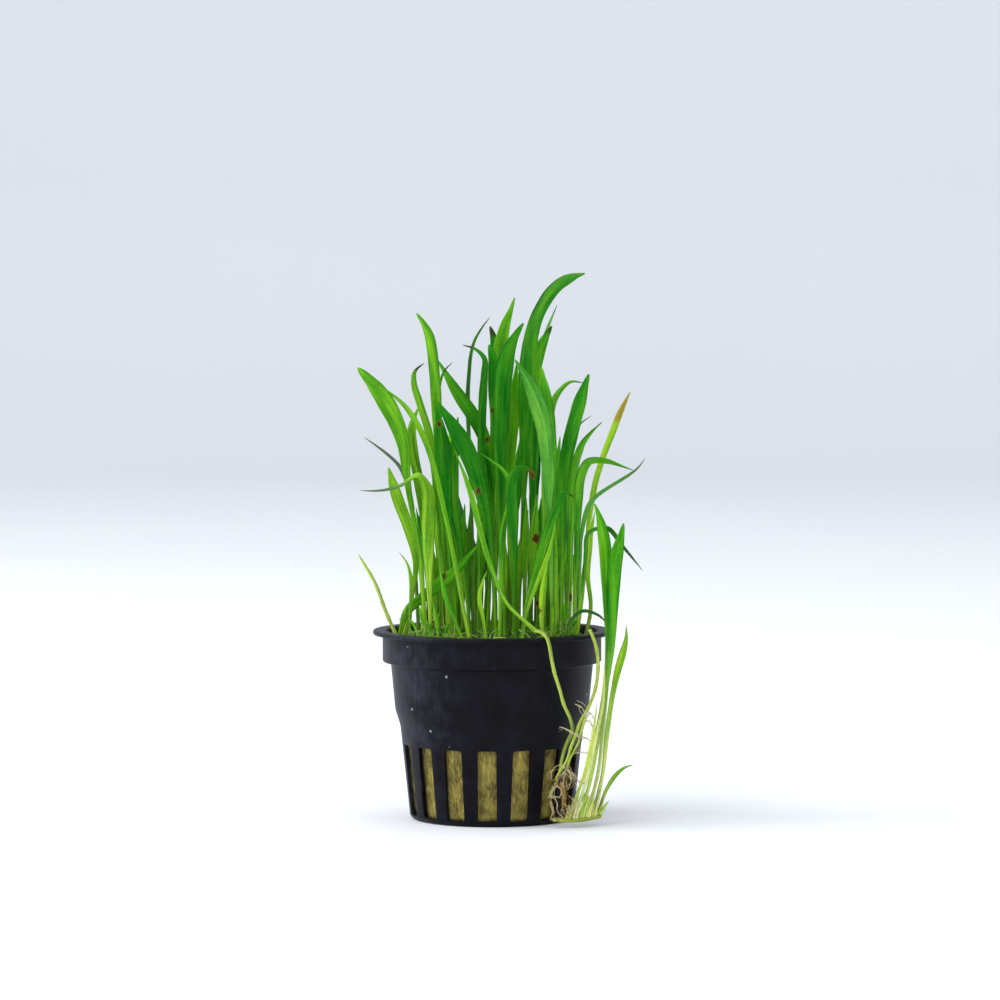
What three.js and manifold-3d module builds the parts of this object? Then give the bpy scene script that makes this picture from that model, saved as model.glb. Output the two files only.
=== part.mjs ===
// A potted aquarium plant, Lilaeopsis brasiliensis: a slotted black net pot of 55 mm filled with mineral
// wool, a dense tuft of strap leaves up to 126 mm above the foot, and a daughter plant outside on runners.
// Millimetres, +Z up. The origin is the centre of the pot's underside, and the plant's front faces -Y.
import * as THREE from "three";
import { mergeVertices } from "three/addons/utils/BufferGeometryUtils.js";
import Module from "manifold-3d";

const wasm = await Module();
wasm.setup();

// The pot
const LIP_RADIUS = 27.5;
const LIP_THICKNESS = 1.0;
const RIM_HEIGHT = 43.7;
const BAND_RADIUS = 25.3;
const BAND_BOTTOM = 36.5;
const BAND_STEP = 0.4;
const WALL_TOP_RADIUS = 23.4;
const SHOULDER_RADIUS = 22.4;
const SHOULDER_HEIGHT = 25.4;
const WAIST_RADIUS = 21.2;
const WAIST_HEIGHT = 21.5;
const FOOT_RADIUS = 19.0;
const FOOT_EDGE = 0.8;
const WALL = 0.95;
const FLOOR = 0.9;
const POT_SEGMENTS = 48;
const WALL_SLOTS = 16;
const WALL_SLOT_WIDTH = 4.3;
const WALL_SLOT_BOTTOM = 1.2;
const WALL_SLOT_TOP = 17.6;
const WALL_SLOT_REACH = 3;
const FIRST_SLOT_DEG = -138.1;
const FLOOR_SLOTS = 8;
const FLOOR_SLOT_WIDTH = 2.6;
const FLOOR_SLOT_INNER = 6;
const FLOOR_SLOT_OUTER = 16.5;

// The mineral wool
const GAP = 0.3;
const MEDIUM_INSET = WALL + GAP + 0.1;
const MEDIUM_STEP_LIFT = 0.6;
const MEDIUM_TOP = 41.5;
const MEDIUM_CROWN = 0.7;
const MEDIUM_CROWN_WIDTH = 2.2;
const MEDIUM_SEGMENTS = 28;

// The leaves
const LEAF_FOOT = MEDIUM_TOP + GAP;
const STALK_WIDTH = 1.25;
const STALK_THICKNESS = 0.8;
const BLADE_THICKNESS = 0.46;
const TIP_THICKNESS = 0.26;
const LEAN = 1.3;
const TAPER_LENGTH = 13;
const SPREAD = [0.28, 0.8];
const ROOM_BETWEEN_LEAVES = 0.34;
const ROOT_CIRCLE = 22.3;

const DEEP_GREEN = { color: 0x1e6e10, roughness: 0.5 };
const MID_GREEN = { color: 0x469619, roughness: 0.5 };
const LIGHT_GREEN = { color: 0x5aaa23, roughness: 0.5 };
const YOUNG_GREEN = { color: 0x8fbe34, roughness: 0.55 };
const PALE_RUNNER = { color: 0xbed778, roughness: 0.5 };
const ROOT_TAN = { color: 0xcdb98c, roughness: 0.8 };
const POT_BLACK = { color: 0x1c1a20, roughness: 0.42 };
const WOOL_OLIVE = { color: 0x7d7332, roughness: 0.95 };

// Single leaves. route is the leaf's middle line as [x, z] from its foot to its tip, seen from the front.
// depth is y at the foot and at the tip, width the blade's widest place, and turn how far the blade is
// turned edge on to the front, in degrees, from foot to tip. A blunt tip has a short taper, and spread is
// where along the leaf its stalk starts to widen and where its blade is widest.
const LEAVES = [
  {
    width: 4.3, depth: [-7, -12], turn: [10, 8], spread: [0.45, 0.9], taper: 11, look: LIGHT_GREEN,
    route: [[-15, 42], [-15.6, 50], [-16.2, 60], [-17.8, 69], [-19.2, 77], [-19.8, 83], [-20.6, 88.8],
      [-22.7, 93.8], [-25.5, 98.6], [-28.4, 102.2], [-30.6, 104.5]],
  },
  {
    width: 1.8, depth: [-17, -16], turn: [25, 50], look: LIGHT_GREEN,
    route: [[-5, 42], [-6.6, 50.5], [-8, 58], [-9.6, 66], [-11.3, 74], [-13.1, 81.5], [-14.6, 86.6],
      [-17.1, 92], [-20.6, 96.8], [-25.2, 100.4]],
  },
  {
    width: 2.7, depth: [0, -2], turn: [15, 20], taper: 9, look: LIGHT_GREEN,
    route: [[-10, 42], [-10.8, 55], [-11.4, 70], [-12, 82], [-12.6, 92], [-13, 100], [-13.5, 106],
      [-14.2, 111], [-15.4, 114], [-17.4, 116.9]],
  },
  {
    width: 3.2, depth: [5, 6], turn: [15, 15], look: MID_GREEN,
    route: [[-1, 42], [-0.4, 60], [-0.3, 75], [-1.1, 85.5], [-4, 92.2], [-8.2, 98.5], [-12.6, 105.9]],
  },
  {
    width: 2.4, depth: [2, 3], turn: [50, 70], look: DEEP_GREEN,
    route: [[-9, 42], [-10.5, 60], [-11.8, 80], [-12.5, 92], [-12.3, 99], [-11.3, 103], [-9.2, 105.4]],
  },
  {
    width: 2.3, depth: [-4, -4], turn: [30, 45], taper: 9, look: MID_GREEN,
    route: [[-9, 42], [-11.4, 60], [-12.9, 76], [-14, 87], [-15.4, 92.2], [-17, 97.2], [-18, 101],
      [-17.6, 103.7], [-15.6, 105.4]],
  },
  {
    width: 2.7, depth: [-1, -5], turn: [25, 30], taper: 8, look: LIGHT_GREEN,
    route: [[-14, 42], [-15, 58], [-16.6, 76], [-17.8, 83], [-18.6, 87.6], [-18.3, 91.4], [-16.9, 95.2]],
  },
  {
    width: 3.2, depth: [-11, -14], turn: [0, 0, 0, 25, 75, 75], taper: 19, spread: [0.1, 0.5],
    look: LIGHT_GREEN,
    route: [[-14, 42], [-14.3, 55], [-14.5, 66], [-14.4, 74], [-14.9, 78.6], [-16.8, 80], [-20, 78.1],
      [-25, 76.6], [-30, 76.6]],
  },
  {
    width: 2.7, depth: [-4, -8], turn: [5, 15], taper: 7, look: LIGHT_GREEN,
    route: [[-20.3, 42], [-19.2, 49], [-17.6, 55], [-17.6, 60], [-18.8, 66], [-20.4, 71], [-22.1, 75.6],
      [-23.7, 81.6]],
  },
  {
    width: 2.3, depth: [4, 10], turn: [55, 70], look: DEEP_GREEN,
    route: [[-17, 42], [-18, 60], [-19, 74], [-21.3, 80.7], [-25, 84.4], [-29.8, 87.8]],
  },
  {
    width: 1.2, depth: [-1, -4], turn: [20, 30], look: YOUNG_GREEN,
    route: [[-22, 42], [-23.9, 46], [-25.3, 50.5], [-26.9, 54.5], [-28.7, 57.8], [-30.7, 61.3]],
  },
  {
    width: 1.2, depth: [-9, -12], turn: [20, 30], look: LIGHT_GREEN,
    route: [[-19, 42], [-18.6, 50], [-18.7, 58.3], [-19.5, 60], [-21.2, 62.4]],
  },
  {
    width: 2.9, depth: [-5, -11.5], turn: [5, 15], spread: [0, 0.35], look: DEEP_GREEN,
    route: [[-21.5, 42], [-20.7, 46], [-18.4, 49.8], [-14.8, 52.6], [-11, 55.6], [-7.2, 59.2], [-3.4, 63.8]],
  },
  {
    width: 4.8, depth: [11.5, 4], turn: [5, 0, 5, 42, 62], spread: [0.3, 0.72], taper: 5, look: MID_GREEN,
    route: [[6, 42], [6.8, 60], [7.4, 75], [7.8, 90], [8.1, 103], [8.8, 110.5], [10.3, 116], [12.1, 119.5],
      [14.1, 122.3], [16.2, 124.1], [18.8, 125.3], [21.6, 126]],
  },
  {
    width: 1.8, depth: [10, 15], turn: [45, 55], look: DEEP_GREEN,
    route: [[8, 42], [9, 60], [9.5, 80], [10.2, 95], [11.2, 106], [12.2, 110.8], [13.5, 114.4],
      [15.2, 118.6]],
  },
  {
    width: 3.1, depth: [7, 9], turn: [25, 20], taper: 8, look: MID_GREEN,
    route: [[9, 42], [9.4, 70], [9.4, 95], [9.8, 102], [10.9, 107.8], [12.3, 110.9], [13.9, 113.8]],
  },
  {
    width: 3.3, depth: [9, 15], turn: [5, 10], spread: [0.45, 0.85], look: LIGHT_GREEN,
    route: [[0, 42], [1, 60], [1.2, 80], [1.3, 100], [1.9, 108], [2.8, 113], [4.2, 117], [5.3, 120.4]],
  },
  {
    width: 2.8, depth: [12, 19], turn: [20, 25], taper: 6, look: MID_GREEN,
    route: [[-2, 42], [0, 70], [0.8, 95], [1, 105], [0.6, 109.8], [-0.5, 113.6]],
  },
  {
    width: 2, depth: [5, 9], turn: [60, 65], look: DEEP_GREEN,
    route: [[-4, 42], [-4.6, 65], [-5.2, 85], [-5.6, 97], [-5.2, 104], [-4.5, 109], [-2.9, 112.5],
      [-0.5, 115.8]],
  },
  {
    width: 2.5, depth: [2, 0], turn: [10, 45], look: MID_GREEN,
    route: [[-3, 42], [-3, 65], [-2.5, 85], [-2.2, 97], [-1.8, 104], [-2.1, 107.3], [-3.8, 108.5],
      [-6.8, 109.5]],
  },
  {
    width: 4.3, depth: [-1, -1], turn: [5, 10], look: DEEP_GREEN,
    route: [[2, 42], [2, 60], [2, 80], [2.3, 97], [3, 105], [4.8, 110.5], [7.3, 114.6]],
  },
  {
    width: 4.2, depth: [4, 3], turn: [5, 10], taper: 10, look: DEEP_GREEN,
    route: [[3, 42], [2.4, 60], [1.9, 80], [1.5, 95], [0.8, 103.4], [-0.7, 109.6]],
  },
  {
    width: 3.9, depth: [-10, -15], turn: [0, 10], look: MID_GREEN,
    route: [[14, 42], [13.5, 60], [13, 75], [12.6, 85], [11.7, 92], [9.5, 98.7], [7.3, 103],
      [5.2, 106.5]],
  },
  {
    width: 3.1, depth: [-7, -8], turn: [20, 15], taper: 8, look: MID_GREEN,
    route: [[15, 42], [14.5, 65], [13.6, 84], [12.8, 93], [11.9, 99.5], [11.3, 104.6]],
  },
  {
    width: 2.9, depth: [-2, -4], turn: [25, 50], look: LIGHT_GREEN,
    route: [[12, 42], [12, 60], [12.3, 80], [12.9, 90], [13.9, 95.8], [16, 99.4], [18.4, 101.2],
      [20.9, 100.9]],
  },
  {
    width: 3.3, depth: [-2, -3], turn: [10, 15], taper: 8, look: MID_GREEN,
    route: [[16, 42], [16.3, 60], [16.5, 78], [17.4, 85], [18.9, 91.4], [20.4, 97], [22.3, 102.9]],
  },
  {
    width: 1.8, depth: [4, 11], turn: [55, 65], look: DEEP_GREEN,
    route: [[17, 42], [17.5, 70], [18, 85], [20, 90.3], [23.2, 92.8]],
  },
  {
    width: 2.5, depth: [0, 4], turn: [35, 45], look: MID_GREEN,
    route: [[17, 42], [18, 65], [18.8, 78.5], [20, 84.5], [22, 88.1], [25.5, 91.6]],
  },
  {
    width: 1.5, depth: [7, 13], turn: [30, 40], look: MID_GREEN,
    route: [[18, 42], [18.8, 70], [20, 81], [21.5, 85.2]],
  },
  {
    width: 1.7, depth: [-2, -1], turn: [15, 30], taper: 7, look: YOUNG_GREEN,
    route: [[19.5, 42], [20.2, 50], [21.5, 59], [22.4, 69], [23.6, 76.5], [25.2, 82.5], [27.5, 88.5],
      [29.6, 94], [31.9, 98.8]],
  },
  {
    width: 3.3, depth: [-6, -11], turn: [10, 60], look: LIGHT_GREEN,
    route: [[18.8, 42], [19.1, 55], [19.6, 68], [20, 77], [21.2, 82.3], [24, 83.5], [28, 82.6],
      [32.4, 81]],
  },
  {
    width: 2, depth: [-9, -15], turn: [50, 60], look: DEEP_GREEN,
    route: [[19.6, 42], [20.1, 58], [20.7, 68], [22, 73], [25, 76], [29.5, 79], [32.5, 81], [34.9, 84]],
  },
  {
    width: 2.1, depth: [-10, -13], turn: [45, 60], look: DEEP_GREEN,
    route: [[19.2, 42], [20.9, 55], [21.6, 64], [22.9, 68.8], [25.2, 68.7], [28.4, 65.5], [31.3, 62.1],
      [34.4, 58.2]],
  },
  {
    width: 1.8, depth: [-18.2, -17.5], turn: [5, 15], look: YOUNG_GREEN,
    route: [[11.6, 42], [11.4, 46], [11.2, 50], [11.6, 54], [12.2, 58], [12.8, 61]],
  },
  {
    width: 2.9, depth: [-12, -13], turn: [5, 30], look: DEEP_GREEN,
    route: [[6.5, 42], [7.5, 48], [9, 55], [11, 61.5], [13, 67.5], [15, 73], [16.8, 76.4], [18.8, 75]],
  },
  {
    width: 1.9, depth: [-12, -13], turn: [5, 50], look: LIGHT_GREEN,
    route: [[1.8, 42], [2, 55], [2.3, 65], [3.3, 71], [4.5, 76.5], [3.4, 80], [0.5, 82.7], [-2.5, 85]],
  },
  {
    width: 1.2, depth: [-20, -20], turn: [10, 20], look: YOUNG_GREEN,
    route: [[-1.3, 42], [-2, 48], [-2.8, 52.5], [-2.2, 55.8], [-1.1, 58.7]],
  },
  {
    width: 3, depth: [-8, -15], turn: [5, 5, 15, 40], taper: 7, look: MID_GREEN,
    route: [[5, 42], [5.2, 60], [4.7, 72], [4.4, 77.4], [5.3, 80.8], [7.2, 82.1], [9, 81], [9.6, 78.9]],
  },
  {
    width: 1.3, depth: [-18, -17], turn: [15, 20], look: YOUNG_GREEN,
    route: [[6.8, 42], [7.3, 47], [9, 52], [11, 57.5], [13.3, 64], [14.5, 70]],
  },
  {
    width: 1.5, depth: [-11, -15], turn: [45, 55], look: DEEP_GREEN,
    route: [[17.5, 42], [18, 47], [19.8, 48.9], [22.5, 49], [25, 47.6], [26.6, 45.8]],
  },
  {
    width: 1.5, depth: [2, 1], turn: [15, 20], taper: 9, look: YOUNG_GREEN,
    route: [[21.8, 42], [22.9, 47.5], [22.2, 54], [22.3, 60], [22.9, 66], [23.8, 71]],
  },
  {
    width: 1.3, depth: [-18, -17], turn: [10, 20], look: LIGHT_GREEN,
    route: [[-6.3, 42], [-7.5, 45.5], [-9.9, 50.5], [-10.8, 54], [-12, 60]],
  },
  {
    width: 4.1, depth: [-6, -9], turn: [5, 10], look: DEEP_GREEN,
    route: [[-8, 42], [-9.1, 58], [-10.4, 70], [-11, 79], [-11.3, 86], [-12, 91], [-12.6, 96]],
  },
  {
    width: 3.2, depth: [-2, -2], turn: [5, 10], look: DEEP_GREEN,
    route: [[-5, 42], [-6.5, 58], [-8.8, 72], [-9.2, 82], [-8.5, 88], [-7.8, 93]],
  },
  {
    width: 4.2, depth: [-6, -12], turn: [5, 10], look: DEEP_GREEN,
    route: [[1, 42], [0.3, 60], [-1.6, 72], [-3.6, 80], [-6.3, 86.6], [-9.6, 92.3], [-12.7, 97]],
  },
  {
    width: 1.6, depth: [-21.9, -12], turn: [5, 40], foot: 45.4, look: LIGHT_GREEN,
    route: [[9.5, 45.4], [7.4, 46.8], [5, 48.7], [2.8, 52.2], [0.7, 57], [-1.2, 62], [-3.4, 70.8],
      [-5.3, 77.5], [-7, 82], [-8.6, 86]],
  },
];

// Short creeping rhizomes with a row of leaves. from and to are the rhizome's ends as [x, y], and each leaf
// is [x, y, z] of its tip and its width.
const SHOOTS = [
  {
    name: "shoot_back_left", from: [-17, 7.5], to: [-7, 16], look: MID_GREEN,
    leaves: [[-18, 14, 70, 2.4], [-16.6, 10, 77, 2.8], [-15.6, 19, 60, 2.6], [-13.6, 16, 82, 3],
      [-10, 22, 89, 3], [-11.6, 24, 68, 2.8], [-6.4, 17, 72, 2.8]],
  },
  {
    name: "shoot_back_middle", from: [-5.5, 16.5], to: [6.5, 18.5], look: MID_GREEN,
    leaves: [[-8.6, 20, 76, 2.8], [-5.2, 24, 66, 2.8], [-1.8, 21, 86, 3], [0.5, 25, 72, 2.8],
      [5.8, 16, 105, 3.4], [6.8, 22, 88, 3], [8.6, 25, 70, 2.8]],
  },
  {
    name: "shoot_back_right", from: [8, 16.5], to: [18, 7], look: MID_GREEN,
    leaves: [[10.6, 20, 93, 3.2], [11.6, 24, 73, 2.8], [14, 17, 70, 2.6], [15.9, 13, 88, 3],
      [18.6, 19, 72, 2.8], [20.4, 12, 80, 2.6], [21.2, 10, 66, 2.4]],
  },
  {
    name: "shoot_middle_left", from: [-15, 2], to: [-1.6, 10.5], look: LIGHT_GREEN,
    leaves: [[-17.6, 1, 72, 2.4], [-15, 8, 66, 2.6], [-13, 3, 79, 3], [-11, 12, 68, 2.6], [-8.2, 6, 76, 2.8],
      [-7, 14, 63, 2.6], [-5, 9, 72, 2.6], [-3.4, 14, 64, 2.6], [-2, 9, 70, 2.6]],
  },
  {
    name: "shoot_middle_right", from: [2, 8.5], to: [16, 1.5], look: LIGHT_GREEN,
    leaves: [[2.8, 12, 66, 2.6], [4.6, 5, 80, 2.8], [6.6, 9, 64, 2.2], [8, 4, 74, 2.6], [10.4, 2, 75, 2.6],
      [12, 9, 68, 2.6], [14, -1, 66, 2.6], [16, 5, 76, 2.6], [19, 1, 68, 2.4]],
  },
];

// Low young sprouts just inside the rim
const SPROUTS = [
  {
    name: "sprouts_left", from: [-18.2, -11.5], to: [-9.5, -19], look: YOUNG_GREEN,
    leaves: [[-19.3, -11, 47.5, 1], [-16.6, -14, 50, 1.1], [-14.2, -14.8, 46.4, 1],
      [-13.4, -16.6, 51, 1.1], [-9.6, -20, 46.8, 1]],
  },
  {
    name: "sprouts_right", from: [12.8, -15.5], to: [18.6, -8.5], look: YOUNG_GREEN,
    leaves: [[13.9, -18.4, 50.6, 1.1], [15.1, -15.9, 46.6, 1], [16.8, -13.6, 52, 1.1],
      [20.2, -8.6, 47, 1]],
  },
];

// Runners over the rim at the front right, as [x, y, z] from the top to the bottom
const RUNNERS = [
  {
    name: "runner_front", width: 1.2, look: PALE_RUNNER,
    route: [[10, -22.2, 45.2], [11.2, -23.6, 45], [12.3, -25.2, 44.2], [13, -25.9, 42.2],
      [13.4, -25.2, 39.6], [14.1, -23.9, 36], [15.3, -21, 32], [16.4, -18.6, 28], [17.9, -17.2, 24.6],
      [18.3, -15.8, 21.8], [17, -16.2, 18.8], [16, -16.5, 15.6], [15.3, -16.3, 12], [14.2, -16.7, 9],
      [12.8, -17.4, 6.6]],
  },
  {
    name: "runner_side", width: 1.1, look: YOUNG_GREEN,
    route: [[22.2, -18.6, 45.2], [23.2, -19, 43], [24, -18.4, 39.6], [24.1, -16.2, 35], [23.5, -14.8, 31],
      [21.9, -16.4, 27], [20.2, -16.9, 24.2], [19.3, -17.3, 21.6], [18.1, -17.8, 18.6], [17, -17.9, 15.2],
      [14.4, -18.5, 11.2]],
  },
  {
    name: "runner_dead", width: 1.5, look: ROOT_TAN,
    route: [[15.9, -18.7, 10.4], [16.2, -18.6, 8.4], [16.3, -18.3, 6.3], [16.1, -18.1, 4.4]],
  },
];

// The daughter plant outside the pot. Its rhizome lies close over the floor and its leaves rise past the
// rim. The leaves are given as the single ones are, without a foot of their own.
const PLANTLET = {
  name: "outside_plantlet",
  rhizome: [[13.6, -18.8, 1.9], [16.8, -18.6, 1.7], [20.4, -17.7, 1.7], [25, -15, 2.2]],
  look: LIGHT_GREEN,
  leaves: [
    {
      width: 1.3, depth: [-18.5, -18.5], turn: [10, 30],
      route: [[17, 3], [19.3, 8], [21.8, 15], [23, 22], [23.9, 28.6]],
    },
    {
      width: 1.3, depth: [-18.3, -19], turn: [5, 30],
      route: [[20, 3], [21.6, 11], [23.6, 20], [25.3, 30], [25.6, 37.4]],
    },
    {
      width: 3.3, depth: [-17.6, -18], turn: [0, 10], spread: [0.45, 0.85], taper: 9,
      route: [[21.4, 3], [22.3, 10], [23.8, 18], [25, 25], [26, 32], [27.1, 41], [27.3, 48],
        [27.6, 55], [28.1, 61], [29.2, 66], [29.9, 69.4]],
    },
    {
      width: 3, depth: [-16.2, -14], turn: [0, 15], spread: [0.5, 0.85], taper: 10,
      route: [[23, 3], [24.2, 12], [25.3, 22], [26.1, 32], [26.4, 42], [26.4, 50], [26.1, 57], [25.8, 63],
        [25.2, 67.4], [24.4, 70.8], [23.4, 73.6]],
    },
    {
      width: 2, depth: [-14.8, -12], turn: [10, 10, 25], spread: [0.62, 0.86], taper: 9,
      route: [[24.2, 3], [25, 10], [25.9, 17], [26.7, 24], [27.8, 31], [29.3, 37.5], [30.6, 42],
        [30.7, 45.6]],
    },
    {
      width: 1.3, depth: [-14, -12], turn: [15, 30],
      route: [[24.9, 3.5], [25.9, 7.4], [27.6, 10.3], [30, 12.8], [32.4, 13.6]],
    },
  ],
};

// Thin roots that grow from one green strand. Each is [x, y, z] points, thickest first.
const ROOT_STRAND = [[21.6, -18.3, 25.6], [20.5, -18.6, 23], [19.9, -18.9, 20], [18.2, -19.4, 16.8],
  [16.3, -19.8, 12.6]];
const ROOTS = [
  [[21.5, -18.4, 25.4], [20, -19.2, 27.6], [18.8, -19.4, 28.2]],
  [[21.3, -18.5, 24.8], [22.4, -19.4, 26.2], [23.2, -19.6, 25]],
  [[20.9, -18.6, 24], [22, -19.6, 24.6], [23, -19.9, 22.8]],
  [[19.9, -18.9, 20.6], [18, -19.6, 22], [15.9, -19.9, 23.1]],
  [[19.9, -18.9, 20.4], [21, -19.9, 20.9], [22.3, -20.1, 20.1]],
  [[18.5, -19.3, 17], [20.5, -20.3, 17.4], [22.4, -20.4, 17.2]],
  [[17, -19.6, 14], [18.3, -20.7, 11.8], [19.4, -21.4, 9.6]],
  [[16.4, -19.8, 12.8], [17.9, -20.4, 11.4], [17.4, -20.7, 8.8]],
  [[16.5, -19.8, 13], [14.2, -20.4, 9.4], [13.4, -20.8, 5.2], [15.3, -21.1, 1.4]],
  [[16.4, -19.8, 12.7], [16.3, -20.6, 7.6], [17.4, -20.8, 3.9], [19.9, -21, 2.8]],
];
const STRAND_RADIUS = 0.5;
const ROOT_RADIUS = 0.27;

// Turns a closed three.js geometry into a solid that can be joined and cut.
function solidOf(geometry) {
  const bare = geometry.index ? geometry.toNonIndexed() : geometry.clone();
  bare.deleteAttribute("normal");
  bare.deleteAttribute("uv");
  const merged = mergeVertices(bare, 1e-4);
  return new wasm.Manifold(new wasm.Mesh({
    numProp: 3,
    vertProperties: new Float32Array(merged.attributes.position.array),
    triVerts: new Uint32Array(merged.index.array),
  }));
}

// Turns a solid back into a three.js geometry.
function geometryOf(solid) {
  const mesh = solid.getMesh();
  const geometry = new THREE.BufferGeometry();
  geometry.setAttribute("position", new THREE.Float32BufferAttribute(mesh.vertProperties, 3));
  geometry.setIndex([...mesh.triVerts]);
  return geometry.toNonIndexed();
}

function namedMesh(name, geometry, look) {
  geometry.computeVertexNormals();
  const material = new THREE.MeshStandardMaterial({ ...look, metalness: 0 });
  const mesh = new THREE.Mesh(geometry, material);
  mesh.name = name;
  return mesh;
}

// Spins an outline of [radius, z] points about +Z.
function turned(outline, segments) {
  const geometry = new THREE.LatheGeometry(outline.map(([r, z]) => new THREE.Vector2(r, z)), segments);
  geometry.rotateX(Math.PI / 2);
  return geometry;
}

// A box that stands out from the axis at an angle, from inner to outer radius.
function radialBox(inner, outer, width, bottom, top, angle) {
  const box = new THREE.BoxGeometry(outer - inner, width, top - bottom);
  box.translate((inner + outer) / 2, 0, (bottom + top) / 2);
  box.rotateZ(angle);
  return box;
}

// The outer radius of the pot's wall at a height, for what hangs against it.
const WALL_PROFILE = [
  [FOOT_RADIUS - FOOT_EDGE, 0],
  [FOOT_RADIUS, FOOT_EDGE],
  [WAIST_RADIUS, WAIST_HEIGHT],
  [SHOULDER_RADIUS, SHOULDER_HEIGHT],
  [WALL_TOP_RADIUS, BAND_BOTTOM - BAND_STEP],
  [BAND_RADIUS, BAND_BOTTOM],
  [BAND_RADIUS, RIM_HEIGHT - LIP_THICKNESS],
  [LIP_RADIUS, RIM_HEIGHT - LIP_THICKNESS],
  [LIP_RADIUS, RIM_HEIGHT],
];

// The pot is one moulding: foot, slotted wall, stepped band and flanged lip, all of one thickness.
function makePot() {
  const inside = [
    [BAND_RADIUS - WALL, RIM_HEIGHT],
    [BAND_RADIUS - WALL, BAND_BOTTOM + WALL],
    [WALL_TOP_RADIUS - WALL, BAND_BOTTOM - WALL],
    [SHOULDER_RADIUS - WALL, SHOULDER_HEIGHT],
    [WAIST_RADIUS - WALL, WAIST_HEIGHT],
    [FOOT_RADIUS - WALL, FLOOR],
  ];
  const outline = [[0, 0], ...WALL_PROFILE, ...inside, [0, FLOOR]];
  let pot = solidOf(turned(outline, POT_SEGMENTS));
  for (let i = 0; i < WALL_SLOTS; i += 1) {
    const angle = THREE.MathUtils.degToRad(FIRST_SLOT_DEG + (i * 360) / WALL_SLOTS);
    const cutter = radialBox(
      FOOT_RADIUS - WALL_SLOT_REACH, LIP_RADIUS, WALL_SLOT_WIDTH, WALL_SLOT_BOTTOM, WALL_SLOT_TOP, angle,
    );
    pot = pot.subtract(solidOf(cutter));
  }
  for (let i = 0; i < FLOOR_SLOTS; i += 1) {
    const angle = (i * 2 * Math.PI) / FLOOR_SLOTS;
    const cutter = radialBox(FLOOR_SLOT_INNER, FLOOR_SLOT_OUTER, FLOOR_SLOT_WIDTH, -1, FLOOR + 1, angle);
    pot = pot.subtract(solidOf(cutter));
  }
  return namedMesh("pot", geometryOf(pot), POT_BLACK);
}

// The wool plug follows the inside of the pot with a small gap, and its top is a little crowned.
function makeGrowingMedium() {
  const outline = [
    [0, FLOOR + GAP],
    [FOOT_RADIUS - MEDIUM_INSET, FLOOR + GAP],
    [WAIST_RADIUS - MEDIUM_INSET, WAIST_HEIGHT],
    [SHOULDER_RADIUS - MEDIUM_INSET, SHOULDER_HEIGHT + MEDIUM_STEP_LIFT],
    [WALL_TOP_RADIUS - MEDIUM_INSET, BAND_BOTTOM - WALL],
    [BAND_RADIUS - MEDIUM_INSET, BAND_BOTTOM + WALL + MEDIUM_STEP_LIFT],
    [BAND_RADIUS - MEDIUM_INSET, MEDIUM_TOP - MEDIUM_CROWN],
    [BAND_RADIUS - MEDIUM_INSET - MEDIUM_CROWN_WIDTH, MEDIUM_TOP],
    [0, MEDIUM_TOP],
  ];
  return namedMesh("growing_medium", turned(outline, MEDIUM_SEGMENTS), WOOL_OLIVE);
}

function curveThrough(points) {
  return new THREE.CatmullRomCurve3(points.map((p) => new THREE.Vector3(...p)), false, "centripetal");
}

const INWARD = new THREE.Vector3(0, 1, 0);
const STEPS = 160;
const BEND_COST = 9;
const TIP_COST = 2.2;
const TIP_PART = 0.6;
const RING_COST = 10.6;
const FEWEST_RINGS = 4;
const SAMPLE_STEP = 1.1;

const ease = (t, from, to) => THREE.MathUtils.smoothstep(t, from, to);

// Where a leaf's rings go along its middle line: closer together at bends and towards the tip.
function ringPlaces(curve, length) {
  const costs = [0];
  for (let i = 1; i <= STEPS; i += 1) {
    const here = curve.getTangent(i / STEPS);
    const bend = here.angleTo(curve.getTangent((i - 1) / STEPS));
    const nearTip = ease(i / STEPS, TIP_PART, 1) * TIP_COST + 1;
    costs.push(costs[i - 1] + (length / STEPS) * nearTip + bend * BEND_COST);
  }
  const total = costs[STEPS];
  const rings = Math.max(FEWEST_RINGS, Math.round(total / RING_COST));
  const places = [];
  for (let ring = 0; ring <= rings; ring += 1) {
    let i = 0;
    while (i < STEPS && costs[i] < (total * ring) / rings) i += 1;
    places.push(i / STEPS);
  }
  return places;
}

// The full width of a leaf at a share of its length: a narrow stalk, a blade, and a pointed tip.
function widthAt(leaf, share) {
  const stalk = Math.min(STALK_WIDTH, leaf.width * 0.8);
  const taper = Math.min(leaf.taper ?? TAPER_LENGTH, leaf.length * 0.5);
  const toTip = Math.min(1, ((1 - share) * leaf.length) / taper);
  const [from, to] = leaf.spread ?? SPREAD;
  const body = stalk + (leaf.width - stalk) * ease(share, from, to);
  return body * Math.sin((toTip * Math.PI) / 2);
}

function thicknessAt(leaf, share) {
  const body = STALK_THICKNESS + (BLADE_THICKNESS - STALK_THICKNESS) * ease(share, 0.1, 0.6);
  const thick = body + (TIP_THICKNESS - body) * ease(share, 0.75, 1);
  return Math.min(thick, widthAt(leaf, share) * 0.8);
}

// A leaf before it is settled: the places of its rings, with the last one its tip.
function layOut(leaf) {
  const curve = curveThrough(leaf.route.map(([x, z]) => [x, 0, Math.max(z, leaf.foot ?? LEAF_FOOT)]));
  const length = curve.getLength();
  curve.arcLengthDivisions = STEPS;
  const shares = ringPlaces(curve, length);
  const centres = shares.map((share) => {
    const p = curve.getPointAt(share);
    p.y = THREE.MathUtils.lerp(leaf.depth[0], leaf.depth[1], share ** LEAN);
    return p;
  });
  return { ...leaf, length, shares, centres, push: shares.map(() => 0) };
}

// The value at a share of the way through a list, easing from one entry to the next.
function valueAlong(values, share) {
  const place = Math.min(share, 0.9999) * (values.length - 1);
  const index = Math.floor(place);
  return THREE.MathUtils.lerp(values[index], values[index + 1], ease(place - index, 0, 1));
}

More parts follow.
